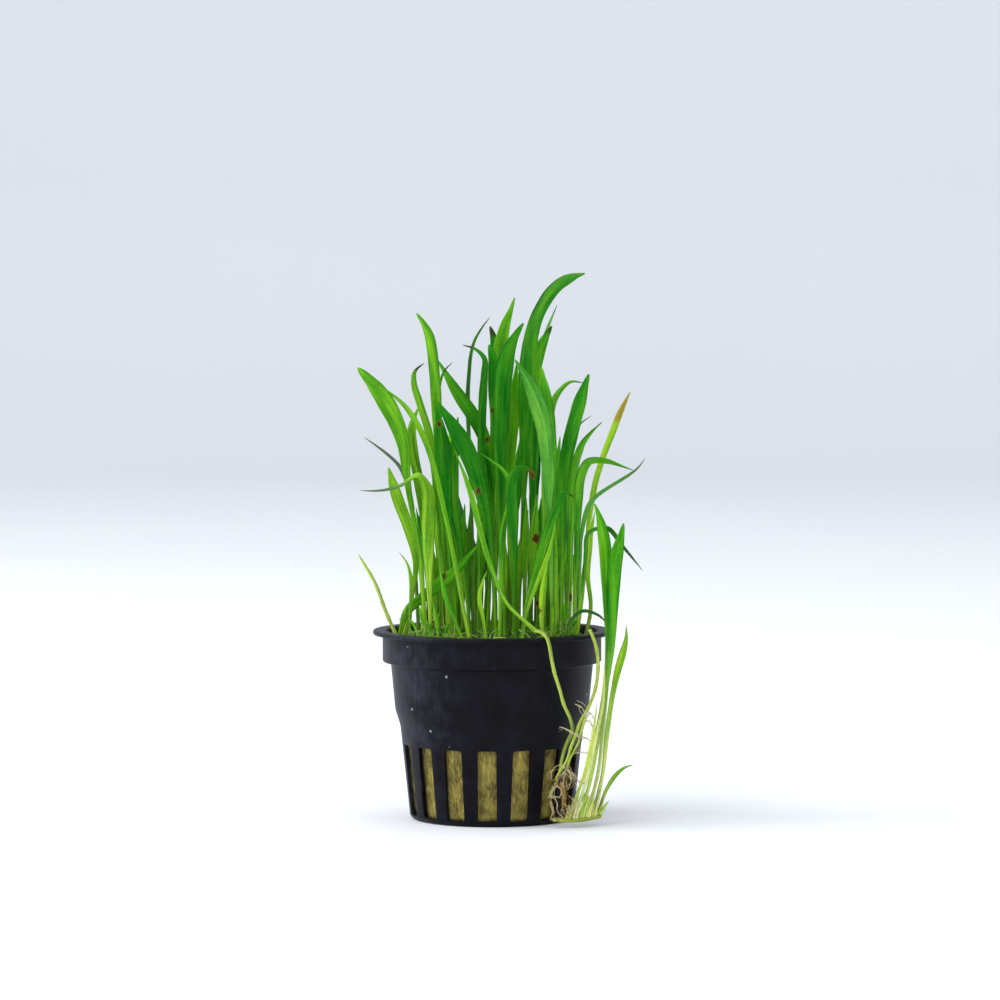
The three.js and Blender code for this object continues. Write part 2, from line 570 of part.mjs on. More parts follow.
// The across and through directions of each ring, each as long as half the leaf's width or thickness there.
function frameOf(leaf) {
  const last = leaf.centres.length - 1;
  leaf.rings = leaf.centres.map((centre, i) => {
    const before = leaf.centres[Math.max(0, i - 1)];
    const after = leaf.centres[Math.min(last, i + 1)];
    const along = after.clone().sub(before).normalize();
    const sideways = INWARD.clone().cross(along).normalize();
    const depthwise = along.clone().cross(sideways).normalize();
    const turn = THREE.MathUtils.degToRad(valueAlong(leaf.turn, leaf.shares[i]));
    const across = sideways.clone().multiplyScalar(Math.cos(turn));
    across.addScaledVector(depthwise, Math.sin(turn));
    const through = along.clone().cross(across);
    across.multiplyScalar(widthAt(leaf, leaf.shares[i]) / 2);
    through.multiplyScalar(thicknessAt(leaf, leaf.shares[i]) / 2);
    return { centre, across, through };
  });
}

// Points along a leaf with the half sizes of the box that holds the leaf there.
function samplesOf(leaf) {
  const samples = [];
  for (let i = 0; i + 1 < leaf.rings.length; i += 1) {
    const a = leaf.rings[i];
    const b = leaf.rings[i + 1];
    const count = Math.max(1, Math.ceil(a.centre.distanceTo(b.centre) / SAMPLE_STEP));
    for (let k = 0; k < count; k += 1) {
      const t = (k + 0.5) / count;
      const centre = a.centre.clone().lerp(b.centre, t);
      const across = a.across.clone().lerp(b.across, t);
      const through = a.through.clone().lerp(b.through, t);
      const step = b.centre.clone().sub(a.centre).multiplyScalar(0.5 / count);
      const half = (axis) => Math.abs(across[axis]) + Math.abs(through[axis]) + Math.abs(step[axis]);
      samples.push({ leaf, i, t, centre, x: half("x"), y: half("y"), z: half("z") });
    }
  }
  return samples;
}

function wallRadius(z) {
  for (let i = 1; i < WALL_PROFILE.length; i += 1) {
    const [lowRadius, low] = WALL_PROFILE[i - 1];
    const [highRadius, high] = WALL_PROFILE[i];
    if (z <= high && high > low) {
      return lowRadius + ((highRadius - lowRadius) * (z - low)) / (high - low);
    }
  }
  return LIP_RADIUS;
}

const CELL = 4;
const MOST_ROUNDS = 900;
const PUSH_SHARE = 0.55;
const MOST_PUSH = 0.6;
const SMOOTHING = 0.06;

// Leaves of one row may stand close together at their feet, and they grow from their own rhizome.
function growTogether(a, b) {
  if (!a.leaf.shoot || a.leaf.shoot !== b.leaf.shoot) return false;
  return Math.min(a.centre.z, b.centre.z) < (a.leaf.apart ?? b.leaf.apart);
}

// How much further apart in depth two samples have to be, or 0 where they don't cross.
function lackOfRoom(a, b) {
  if (a.leaf === b.leaf) return 0;
  if (Math.abs(a.centre.x - b.centre.x) >= a.x + b.x + ROOM_BETWEEN_LEAVES) return 0;
  if (Math.abs(a.centre.z - b.centre.z) >= a.z + b.z + ROOM_BETWEEN_LEAVES) return 0;
  if (growTogether(a, b)) return 0;
  return Math.max(0, a.y + b.y + ROOM_BETWEEN_LEAVES - Math.abs(a.centre.y - b.centre.y));
}

function give(sample, amount) {
  if (sample.leaf.fixed) return;
  sample.leaf.push[sample.i] += amount * (1 - sample.t);
  sample.leaf.push[sample.i + 1] += amount * sample.t;
}

// Pushes crossing samples apart, and counts them.
function pushApart(samples) {
  const cells = new Map();
  let crossings = 0;
  for (const sample of samples) {
    const column = Math.floor(sample.centre.x / CELL);
    const row = Math.floor(sample.centre.z / CELL);
    for (let place = 0; place < 9; place += 1) {
      const key = `${column - 1 + (place % 3)},${row - 1 + Math.floor(place / 3)}`;
      for (const other of cells.get(key) ?? []) {
        const lack = lackOfRoom(sample, other);
        if (lack <= 0.01) continue;
        crossings += 1;
        const way = Math.sign(sample.centre.y - other.centre.y || 1);
        give(sample, way * lack * PUSH_SHARE * (other.leaf.fixed ? 2 : 1));
        give(other, -way * lack * PUSH_SHARE * (sample.leaf.fixed ? 2 : 1));
      }
    }
    const own = `${column},${row}`;
    if (!cells.has(own)) cells.set(own, []);
    cells.get(own).push(sample);
  }
  return crossings;
}

const WALL_CLEARANCE = 1;
const FOOT_PART = 1.5;

// Keeps a daughter plant's leaf outside the pot, and the other leaves' feet over the wool.
function keepPlace(sample) {
  const { leaf, centre } = sample;
  const reach = Math.hypot(centre.x, centre.y);
  if (leaf.outside && centre.z < RIM_HEIGHT + WALL_CLEARANCE) {
    const clear = wallRadius(centre.z + sample.z + WALL_CLEARANCE) + GAP;
    const inner = Math.max(0, centre.x - sample.x);
    const needed = Math.sqrt(Math.max(0, clear ** 2 - inner ** 2)) + sample.y;
    give(sample, -Math.max(0, centre.y + needed));
  } else if (!leaf.outside && centre.z < LEAF_FOOT + FOOT_PART && reach > ROOT_CIRCLE) {
    give(sample, -Math.sign(centre.y) * (reach - ROOT_CIRCLE));
  }
}

// Moves a leaf's rings by what they were pushed, evened out along the leaf.
function followPush(leaf, smoothing) {
  const last = leaf.push.length - 1;
  leaf.centres.forEach((centre, i) => {
    const beside = leaf.push[Math.max(0, i - 1)] + leaf.push[Math.min(last, i + 1)];
    const pushed = leaf.push[i] * 0.5 + beside * 0.25;
    centre.y += leaf.pinned && i === 0 ? 0 : THREE.MathUtils.clamp(pushed, -MOST_PUSH, MOST_PUSH);
  });
  for (let i = 1; i < last; i += 1) {
    const middle = (leaf.centres[i - 1].y + leaf.centres[i + 1].y) / 2;
    leaf.centres[i].y += (middle - leaf.centres[i].y) * smoothing;
  }
  leaf.push.fill(0);
}

// Eases crossing leaves apart in depth, which leaves the plant's front view as it is.
function settle(leaves, still) {
  for (let round = 0; round < MOST_ROUNDS; round += 1) {
    leaves.forEach(frameOf);
    const samples = leaves.flatMap(samplesOf);
    const crossings = pushApart([...still, ...samples]);
    if (crossings === 0) return;
    samples.forEach(keepPlace);
    leaves.forEach((leaf) => followPush(leaf, SMOOTHING * (1 - round / MOST_ROUNDS)));
  }
  leaves.forEach(frameOf);
}

// The corners of one ring: its two edges and its two faces.
function ringCorners({ centre, across, through }) {
  return [
    centre.clone().add(across),
    centre.clone().add(through),
    centre.clone().sub(across),
    centre.clone().sub(through),
  ];
}

// The skin between two rings of the same number of corners.
function skin(out, low, high) {
  low.forEach((corner, i) => {
    const next = (i + 1) % low.length;
    out.push(corner, low[next], high[next]);
    out.push(corner, high[next], high[i]);
  });
}

// The skin of a leaf above its lowest ring, up to its tip.
function leafSkin(out, leaf) {
  const body = leaf.rings.slice(0, -1).map(ringCorners);
  for (let i = 0; i + 1 < body.length; i += 1) skin(out, body[i], body[i + 1]);
  const top = body[body.length - 1];
  const tip = leaf.rings[leaf.rings.length - 1].centre;
  top.forEach((corner, i) => out.push(corner, top[(i + 1) % top.length], tip));
  return body[0];
}

// One leaf on its own: its skin, closed at the foot.
function makeLeaf(leaf) {
  const out = [];
  const [a, b, c, d] = leafSkin(out, leaf);
  out.push(a, c, b);
  out.push(a, d, c);
  return namedMesh(leaf.name, new THREE.BufferGeometry().setFromPoints(out), leaf.look);
}

// A square rhizome whose top carries leaves. Its stations are corner rings, and every second stretch
// between them has a leaf on its top.
function makeRhizome(name, stations, leaves, look) {
  const out = [];
  const [first] = stations;
  const last = stations[stations.length - 1];
  stations.slice(0, -1).forEach((low, i) => {
    const high = stations[i + 1];
    for (let side = 0; side < 3; side += 1) {
      out.push(low[side], low[side + 1], high[side + 1]);
      out.push(low[side], high[side + 1], high[side]);
    }
    const top = [low[3], low[0], high[0], high[3]];
    const leaf = i % 2 === 1 ? leaves[(i - 1) / 2] : null;
    if (leaf) {
      const foot = leafSkin(out, leaf);
      skin(out, top, nearestTurn(top, foot));
    } else {
      out.push(top[0], top[1], top[2]);
      out.push(top[0], top[2], top[3]);
    }
  });
  out.push(first[0], first[2], first[1]);
  out.push(first[0], first[3], first[2]);
  out.push(last[0], last[1], last[2]);
  out.push(last[0], last[2], last[3]);
  return namedMesh(name, new THREE.BufferGeometry().setFromPoints(out), look);
}

// The order of a leaf's foot corners that twists the joint with the rhizome least.
function nearestTurn(top, foot) {
  const gap = (turn) => top.reduce((sum, corner, i) => sum + corner.distanceTo(foot[(i + turn) % 4]), 0);
  const best = [0, 1, 2, 3].reduce((a, b) => (gap(b) < gap(a) ? b : a));
  return top.map((_, i) => foot[(i + best) % 4]);
}

const RHIZOME_HALF = 0.75;
const LEAF_SEAT = 0.62;
const FOOT_LIFT = 0.5;
const ROW_OF_STALKS = 5;

// Corner rings along a rhizome's path, with a narrow pair around each place that carries a leaf.
function rhizomeStations(path, seats) {
  const curve = curveThrough(path);
  const length = curve.getLength();
  const shares = [0, ...seats.flatMap((seat) => [seat - LEAF_SEAT / length, seat + LEAF_SEAT / length]), 1];
  return shares.map((share, i) => {
    const centre = curve.getPointAt(THREE.MathUtils.clamp(share, 0, 1));
    const along = curve.getTangentAt(THREE.MathUtils.clamp(share, 0, 1));
    const side = new THREE.Vector3(-along.y, along.x, 0).normalize();
    const half = i === 0 || i === shares.length - 1 ? RHIZOME_HALF * 0.5 : RHIZOME_HALF;
    const corner = (s, u) => centre.clone().addScaledVector(side, s * half).setZ(centre.z + u * half);
    return [corner(-1, 1), corner(-1, -1), corner(1, -1), corner(1, 1)];
  });
}

// Boxes along a rhizome, which the leaves around it keep clear of.
function rhizomeSamples({ name, stations }) {
  const stem = { fixed: true, shoot: name };
  const middleOf = (ring) => ring.reduce((sum, p) => sum.add(p), new THREE.Vector3()).divideScalar(4);
  const middles = stations.map(middleOf);
  return middles.slice(1).map((high, i) => {
    const low = middles[i];
    const half = (axis) => Math.abs(high[axis] - low[axis]) / 2 + RHIZOME_HALF;
    return { leaf: stem, centre: low.clone().lerp(high, 0.5), x: half("x"), y: half("y"), z: half("z") };
  });
}

// How far a shoot's leaf is turned, by its number in the row: a different way each, but never edge on.
const MOST_TURN = 36;
const turnOf = (index, step) => ((index * step) % (2 * MOST_TURN)) - MOST_TURN;

// A leaf of a shoot: straight up from its seat, then out to its tip.
function shootLeaf(shoot, seat, [tipX, tipY, tipZ, width], index) {
  const rise = tipZ - seat.z;
  const share = (t) => t * t * (1.6 - 0.6 * t);
  const steps = [0, 0.25, 0.5, 0.75, 1];
  const route = steps.map((t) => [seat.x + (tipX - seat.x) * share(t), seat.z + rise * t]);
  return layOut({
    shoot, route, width, depth: [seat.y, tipY], turn: [turnOf(index, 67), turnOf(index, 47)],
    foot: seat.z, apart: seat.z + ROW_OF_STALKS, pinned: true,
  });
}

function layOutShoot(shoot) {
  const z = LEAF_FOOT + RHIZOME_HALF;
  const path = [[...shoot.from, z], [...shoot.to, z]];
  const seats = shoot.leaves.map((_, i) => (i + 0.7) / (shoot.leaves.length + 0.4));
  const leaves = shoot.leaves.map((tip, i) => {
    const x = THREE.MathUtils.lerp(shoot.from[0], shoot.to[0], seats[i]);
    const y = THREE.MathUtils.lerp(shoot.from[1], shoot.to[1], seats[i]);
    return shootLeaf(shoot.name, new THREE.Vector3(x, y, z + RHIZOME_HALF + FOOT_LIFT), tip, i);
  });
  return { ...shoot, stations: rhizomeStations(path, seats), leaves };
}

function layOutPlantlet() {
  const curve = curveThrough(PLANTLET.rhizome);
  const seats = [0.3, 0.43, 0.56, 0.69, 0.82, 0.94];
  const leaves = PLANTLET.leaves.map((leaf, i) => {
    const seat = curve.getPointAt(seats[i]);
    const foot = seat.z + RHIZOME_HALF + FOOT_LIFT;
    const route = [[seat.x, foot], ...leaf.route.slice(1)];
    const place = { route, depth: [seat.y, leaf.depth[1]], foot, apart: foot + ROW_OF_STALKS };
    return layOut({ ...leaf, ...place, shoot: PLANTLET.name, pinned: true, outside: true });
  });
  return { ...PLANTLET, stations: rhizomeStations(PLANTLET.rhizome, seats), leaves };
}

// A runner is a round stem that thins to its growing end, laid over the rim and down the wall.
function layOutRunner(runner) {
  const curve = curveThrough(runner.route);
  const rings = runner.route.length * 2;
  const shares = Array.from({ length: rings + 1 }, (_, i) => i / rings);
  const centres = shares.map((share) => curve.getPointAt(share));
  const leaf = { ...runner, shares, centres, fixed: true, outside: true, push: shares.map(() => 0) };
  leaf.length = curve.getLength();
  leaf.turn = [0, 0];
  return leaf;
}

// A tube of a few sides along a list of points, closed at both ends.
function tube(points, radius, sides, steps) {
  const shape = new THREE.Shape();
  for (let i = 0; i < sides; i += 1) {
    const angle = (i * 2 * Math.PI) / sides;
    const place = [Math.cos(angle) * radius, Math.sin(angle) * radius];
    if (i === 0) shape.moveTo(...place);
    else shape.lineTo(...place);
  }
  shape.closePath();
  const curve = curveThrough(points);
  return new THREE.ExtrudeGeometry(shape, { steps, extrudePath: curve, bevelEnabled: false });
}

// The roots are one bundle: every root starts inside the green strand.
function makeRoots() {
  let bundle = solidOf(tube(ROOT_STRAND, STRAND_RADIUS, 5, 7));
  for (const root of ROOTS) bundle = bundle.add(solidOf(tube(root, ROOT_RADIUS, 3, root.length + 2)));
  return namedMesh("roots", geometryOf(bundle), ROOT_TAN);
}

const leafName = (i) => `leaf_${String(i + 1).padStart(2, "0")}`;
const singles = LEAVES.map((leaf, i) => layOut({ ...leaf, name: leafName(i) }));
const shoots = [...SHOOTS, ...SPROUTS].map(layOutShoot);
const plantlet = layOutPlantlet();
const runners = RUNNERS.map(layOutRunner);
runners.forEach(frameOf);
const still = [...runners.flatMap(samplesOf), ...[...shoots, plantlet].flatMap(rhizomeSamples)];
settle([...singles, ...shoots.flatMap((shoot) => shoot.leaves), ...plantlet.leaves], still);

const plant = new THREE.Group();
plant.add(makePot());
plant.add(makeGrowingMedium());
singles.forEach((leaf) => plant.add(makeLeaf(leaf)));
for (const { name, stations, leaves, look } of [...shoots, plantlet]) {
  plant.add(makeRhizome(name, stations, leaves, look));
}
runners.forEach((runner) => plant.add(makeLeaf(runner)));
plant.add(makeRoots());

export default plant;
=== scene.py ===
# A potted aquarium plant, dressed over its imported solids: the slotted net pot, the mineral wool in it,
# the tuft of strap leaves, and the daughter plant with its roots that hangs outside on runners.
import math
from itertools import combinations

import bmesh
import bpy
import numpy as np
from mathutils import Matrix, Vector, noise


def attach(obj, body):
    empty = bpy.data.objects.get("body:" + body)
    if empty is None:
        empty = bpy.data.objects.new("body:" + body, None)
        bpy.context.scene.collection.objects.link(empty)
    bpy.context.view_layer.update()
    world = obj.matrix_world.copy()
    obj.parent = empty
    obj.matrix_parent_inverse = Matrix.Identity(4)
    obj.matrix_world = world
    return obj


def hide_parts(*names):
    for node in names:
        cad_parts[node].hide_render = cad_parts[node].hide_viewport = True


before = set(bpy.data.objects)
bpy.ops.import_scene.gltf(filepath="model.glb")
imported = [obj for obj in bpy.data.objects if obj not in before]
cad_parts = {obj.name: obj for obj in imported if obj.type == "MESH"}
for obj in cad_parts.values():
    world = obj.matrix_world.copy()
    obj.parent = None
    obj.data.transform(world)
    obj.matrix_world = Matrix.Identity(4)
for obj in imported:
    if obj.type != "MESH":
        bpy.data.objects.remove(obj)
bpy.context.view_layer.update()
scene = bpy.context.scene
MM = 0.001

# The photograph's view
# The plant is seen from the front and a little from above, from far away with a long lens.
SEEN_WIDTH = 0.231
CAMERA_AWAY = 1.0
CAMERA_RISE = math.radians(3)
LOOKED_AT = Vector((0.00185, 0, 0.0737))
SENSOR = 36

lens = bpy.data.cameras.new("camera")
lens.sensor_width = SENSOR
lens.lens = SENSOR * CAMERA_AWAY / SEEN_WIDTH
camera = bpy.data.objects.new("camera", lens)
scene.collection.objects.link(camera)
towards_camera = Vector((0, -math.cos(CAMERA_RISE), math.sin(CAMERA_RISE)))
camera.location = LOOKED_AT + towards_camera * CAMERA_AWAY
camera.rotation_euler = (-towards_camera).to_track_quat("-Z", "Y").to_euler()
scene.camera = camera

# The pot
# A black net pot, moulded in one shot from polypropylene: a rounded foot, a tapered wall with a waist, a
# stepped band and a flanged lip. Sixteen drain slots are open low in the wall and eight in the floor.
LIP_RADIUS = 27.5
LIP_BOTTOM = 42.7
RIM_HEIGHT = 43.7
BAND_RADIUS = 25.3
BAND_BOTTOM = 36.5
WALL = 0.95
FLOOR = 0.9
# Outlines as (radius, height) in millimetres, from the axis out and up, and back down to it
POT_OUTSIDE = [(0, 0), (18.2, 0), (19, 0.8), (21.2, 21.5), (22.4, 25.4), (23.4, 36.1),
               (BAND_RADIUS, BAND_BOTTOM), (BAND_RADIUS, LIP_BOTTOM), (LIP_RADIUS, LIP_BOTTOM),
               (LIP_RADIUS, RIM_HEIGHT)]
POT_INSIDE = [(BAND_RADIUS - WALL, RIM_HEIGHT), (BAND_RADIUS - WALL, BAND_BOTTOM + WALL),
              (22.45, BAND_BOTTOM - WALL), (21.45, 25.4), (20.25, 21.5), (18.05, FLOOR), (0, FLOOR)]
POT_SIDES = 160
MOULDED_EDGE = 0.35
WALL_SLOTS = 16
WALL_SLOT_WIDTH = 4.3
WALL_SLOT_BOTTOM = 1.2
WALL_SLOT_TOP = 17.6
FIRST_WALL_SLOT = math.radians(-138.1)
FLOOR_SLOTS = 8
FLOOR_SLOT_WIDTH = 2.6
FLOOR_SLOT_INNER = 6
FLOOR_SLOT_OUTER = 16.5
SLOT_CORNER = 0.7
SLOT_EDGE = 0.12
SLOT_EDGE_FROM = math.radians(50)
SHARP_FROM = math.radians(40)
CUTTER_REACH = 6
WALL_CUTTER_OUT = 20
POT_BLACK = (4, 2, 9)
# The pale grey-blue of the hard-water haze, also the colour of the painted reflection on the pot's left side
POT_HAZE_AND_SHEEN = (58, 66, 80)
POT_SPECK = (150, 154, 164)
MOST_NOISE = (0.3, 0.7)


def tone(red, green, blue):
    """A seen colour, 0 to 255, as the linear colour that a shader takes."""
    shares = [part / 255 for part in (red, green, blue)]
    linear = [part / 12.92 if part < 0.04045 else ((part + 0.055) / 1.055) ** 2.4 for part in shares]
    return (*linear, 1)


def node(tree, kind, inputs=None, **settings):
    """Adds a node. inputs gives its sockets, by name or number, a value or another node's socket."""
    made = tree.nodes.new(kind)
    for key, value in settings.items():
        setattr(made, key, value)
    for key, value in (inputs or {}).items():
        if isinstance(value, bpy.types.NodeSocket):
            tree.links.new(value, made.inputs[key])
        else:
            made.inputs[key].default_value = value
    return made


def maths(tree, operation, *values):
    """The result of a Math node."""
    return node(tree, "ShaderNodeMath", dict(enumerate(values)), operation=operation).outputs[0]


def times(tree, one, other):
    """Two values multiplied."""
    return maths(tree, "MULTIPLY", one, other)


def total(tree, first, *others):
    """Values added up."""
    for other in others:
        first = maths(tree, "ADD", first, other)
    return first


def spread(tree, value, low, high, to_low=0.0, to_high=1.0):
    """A value eased from one range into another."""
    inputs = {"Value": value, "From Min": low, "From Max": high, "To Min": to_low, "To Max": to_high}
    return node(tree, "ShaderNodeMapRange", inputs, interpolation_type="SMOOTHSTEP").outputs["Result"]


def blend_colours(tree, share, *colours):
    """Two colours mixed by a share, each a seen colour or another node's."""
    one, other = (tone(*colour) if isinstance(colour, tuple) else colour for colour in colours)
    return node(tree, "ShaderNodeMix", {0: share, 6: one, 7: other}, data_type="RGBA").outputs[2]


def millimetres(tree):
    """Where a point of the piece is, in millimetres."""
    place = node(tree, "ShaderNodeTexCoord").outputs["Object"]
    return node(tree, "ShaderNodeVectorMath", {0: place, "Scale": 1 / MM}, operation="SCALE").outputs[0]


def parts_of(tree, vector):
    """A vector's three parts."""
    return node(tree, "ShaderNodeSeparateXYZ", {0: vector}).outputs


def stretched(tree, place, scale):
    """Places drawn in by a scale along each axis, so that a pattern on them is drawn out."""
    return node(tree, "ShaderNodeMapping", {"Vector": place, "Scale": scale}).outputs[0]


def mottle(tree, place, scale, detail, roughness=0.5, distortion=0.0):
    """Noise from 0 to 1."""
    inputs = {"Vector": place, "Scale": scale, "Detail": detail, "Roughness": roughness,
              "Distortion": distortion}
    return node(tree, "ShaderNodeTexNoise", inputs).outputs[0]


def swing(tree, pattern, least, most=1.0):
    """Noise eased from the range that holds most of it onto another."""
    return spread(tree, pattern, *MOST_NOISE, least, most)


def new_material(name):
    """An empty material, its node tree and its main shader."""
    material = bpy.data.materials.new(name)
    material.use_nodes = True
    shader = material.node_tree.nodes["Principled BSDF"]
    return material, material.node_tree, shader


def coat(tree, shader, colour, roughness):
    """Gives a shader the colour and roughness that change over its surface."""
    tree.links.new(colour, shader.inputs["Base Color"])
    tree.links.new(roughness, shader.inputs["Roughness"])


def bump(tree, shader, height, depth):
    """Raises a shader's surface by a height map, depth millimetres at full height."""
    raised = node(tree, "ShaderNodeBump", {"Strength": 1.0, "Distance": depth * MM, "Height": height})
    tree.links.new(raised.outputs["Normal"], shader.inputs["Normal"])


def smooth(mesh):
    """Shades all faces of a mesh smoothly."""
    mesh.polygons.foreach_set("use_smooth", [True] * len(mesh.polygons))


def piece_of(name, corners, faces, material=None):
    """A smooth mesh object from corners in millimetres."""
    mesh = bpy.data.meshes.new(name)
    mesh.from_pydata([tuple(float(part) * MM for part in corner) for corner in corners], [], faces)
    smooth(mesh)
    if material:
        mesh.materials.append(material)
    piece = bpy.data.objects.new(name, mesh)
    scene.collection.objects.link(piece)
    return piece


def rounded(outline, radius, steps=3):
    """An outline with its corners rounded, apart from those on the axis."""
    points = [Vector(point) for point in outline]
    result = []
    for i, point in enumerate(points):
        before, after = points[i - 1], points[(i + 1) % len(points)]
        if point.x < 1e-6:
            result.append(tuple(point))
            continue
        start = point + (before - point) * min(0.45, radius / (before - point).length)
        end = point + (after - point) * min(0.45, radius / (after - point).length)
        for k in range(steps + 1):
            t = k / steps
            result.append(tuple(start * (1 - t) ** 2 + point * 2 * t * (1 - t) + end * t ** 2))
    return result


def spun(outline, sides):
    """Corners and faces of an outline of (radius, height) turned about the axis, from axis to axis."""
    corners, faces, rings = [], [], []
    for radius, height in outline:
        if radius < 1e-6:
            rings.append([len(corners)] * sides)
            corners.append((0, 0, height))
            continue
        rings.append(range(len(corners), len(corners) + sides))
        for k in range(sides):
            angle = 2 * math.pi * k / sides
            corners.append((radius * math.cos(angle), radius * math.sin(angle), height))
    for low, high in zip(rings, rings[1:]):
        for k in range(sides):
            face = [low[k], low[(k + 1) % sides], high[(k + 1) % sides], high[k]]
            face = list(dict.fromkeys(face))
            if len(face) > 2:
                faces.append(face)
    return corners, faces


def band(low, high, sides):
    """The faces between two rings of corners, each given by its first corner."""
    return [[low + k, low + (k + 1) % sides, high + (k + 1) % sides, high + k] for k in range(sides)]


def outward(piece):
    """Turns a closed piece's faces outwards."""
    form = bmesh.new()
    form.from_mesh(piece.data)
    bmesh.ops.recalc_face_normals(form, faces=form.faces)
    form.to_mesh(piece.data)
    form.free()


def slot_cutter(name, length, width, place, upright):
    """A rounded bar that cuts one slot: upright through the wall, or lying through the floor."""
    near, far, side = length / 2, length + length / 2, width / 2
    outline = rounded([(near, -side), (far, -side), (far, side), (near, side)], SLOT_CORNER)
    corners = []
    for depth in (-CUTTER_REACH, CUTTER_REACH):
        for along, across in outline:
            along -= length
            offset = (depth, across, along) if upright else (along, across, depth)
            corners.append([a + b for a, b in zip(place, offset)])
    count = len(outline)
    faces = band(0, count, count) + [list(range(count))[::-1], list(range(count, 2 * count))]
    cutter = piece_of(name, corners, faces)
    outward(cutter)
    return cutter


def new_tree(name, inputs, outputs, kind="GeometryNodeTree"):
    """A node group with named inputs and outputs, with what it is given and where its results go."""
    tree = bpy.data.node_groups.new(name, kind)
    for in_out, sockets in (("INPUT", inputs), ("OUTPUT", outputs)):
        for socket, value in sockets.items():
            tree.interface.new_socket(socket, in_out=in_out, socket_type="NodeSocket" + value)
    return tree, tree.nodes.new("NodeGroupInput").outputs, tree.nodes.new("NodeGroupOutput").inputs


def shape_of(tree, thing):
    """The geometry of an object that a tree is given."""
    return node(tree, "GeometryNodeObjectInfo", {"Object": thing}).outputs["Geometry"]


def real(tree, copies):
    """Copies of a shape made real geometry."""
    return node(tree, "GeometryNodeRealizeInstances", {0: copies}).outputs[0]


def close_tree(tree, result, geometry, finish):
    """Ends a tree with real geometry of one finish."""
    finished = node(tree, "GeometryNodeSetMaterial", {"Geometry": real(tree, geometry), "Material": finish})
    tree.links.new(finished.outputs[0], result[0])


def settle(piece):
    """Applies a piece's modifiers."""
    bpy.context.view_layer.update()
    evaluated = piece.evaluated_get(bpy.context.evaluated_depsgraph_get())
    mesh = bpy.data.meshes.new_from_object(evaluated)
    piece.modifiers.clear()
    old, piece.data = piece.data, mesh
    bpy.data.meshes.remove(old)


def grow(piece, tree, **values):
    """Runs a Geometry Nodes tree on a piece and keeps the result as its plain mesh."""
    modifier = piece.modifiers.new(tree.name, "NODES")
    modifier.node_group = tree
    for socket in tree.interface.items_tree:
        key = socket.name.lower().replace(" ", "_")
        if socket.in_out == "INPUT" and key in values:
            modifier[socket.identifier] = values[key]
    settle(piece)


def dress(piece, slot, *nodes):
    """Attaches a finished piece to the root body and hides the solids it stands in for. slot is not used."""
    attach(piece, "root")
    if nodes:
        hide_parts(*nodes)


# Cuts a ring of evenly spaced slots through a moulding.
slot_ring, given, result = new_tree(
    "Ring of slots",
    {"Moulding": "Geometry", "Cutter": "Object", "Slots": "Int", "First angle": "Float",
     "Finish": "Material"},
    {"Moulding": "Geometry"},
)
places = node(slot_ring, "GeometryNodePoints", {"Count": given["Slots"]}).outputs[0]
step = maths(slot_ring, "DIVIDE", 2 * math.pi, given["Slots"])
number = node(slot_ring, "GeometryNodeInputIndex").outputs[0]
turn = maths(slot_ring, "MULTIPLY_ADD", number, step, given["First angle"])
about_axis = node(slot_ring, "ShaderNodeCombineXYZ", {"Z": turn}).outputs[0]
bars = node(slot_ring, "GeometryNodeInstanceOnPoints", {
    "Points": places, "Instance": shape_of(slot_ring, given["Cutter"]),
    "Rotation": node(slot_ring, "FunctionNodeEulerToRotation", {0: about_axis}).outputs[0]}).outputs[0]
cut = node(slot_ring, "GeometryNodeMeshBoolean", {
    "Mesh 1": given["Moulding"], "Mesh 2": real(slot_ring, bars)},
    operation="DIFFERENCE", solver="EXACT").outputs[0]
close_tree(slot_ring, result, cut, given["Finish"])

# Moulded polypropylene has a fine flow texture down the wall and dries with a pale haze of hard water.
# The haze is painted strongest on the pot's left side and fades towards the middle, a painted reflection of
# the left lamp laid over the real haze.
pot_black, tree, shader = new_material("moulded black polypropylene")
here = millimetres(tree)
haze = mottle(tree, here, 0.16, 6.0, 0.65)
flow = mottle(tree, stretched(tree, here, (2.2, 2.2, 0.12)), 1.0, 4.0)
drops = node(tree, "ShaderNodeTexVoronoi", {"Vector": here, "Scale": 0.22, "Randomness": 1.0}).outputs
chosen = node(tree, "ShaderNodeSeparateColor", {0: drops["Color"]}).outputs[0]
specks = times(tree, spread(tree, drops["Distance"], 0.05, 0.09, 0.7, 0.0), spread(tree, chosen, 0.6, 0.7))
hazed = times(tree, spread(tree, haze, 0.3, 0.8), swing(tree, flow, 0.4))
# Painted reflection: the haze is held full on the pot's left side and thinned towards the middle, where the
# left lamp would reflect
haze_and_left_sheen = times(tree, hazed, spread(tree, parts_of(tree, here)[0], -26.0, -4.0, 1.0, 0.15))
hazed_and_sheened = blend_colours(tree, haze_and_left_sheen, POT_BLACK, POT_HAZE_AND_SHEEN)
coat(tree, shader, blend_colours(tree, specks, hazed_and_sheened, POT_SPECK), spread(tree, haze, 0.3, 0.75, 0.4, 0.54))
shader.inputs["Specular IOR Level"].default_value = 0.1
grain = mottle(tree, here, 5.0, 2.0)
bump(tree, shader, maths(tree, "MULTIPLY_ADD", flow, 0.6, times(tree, grain, 0.4)), 0.03)

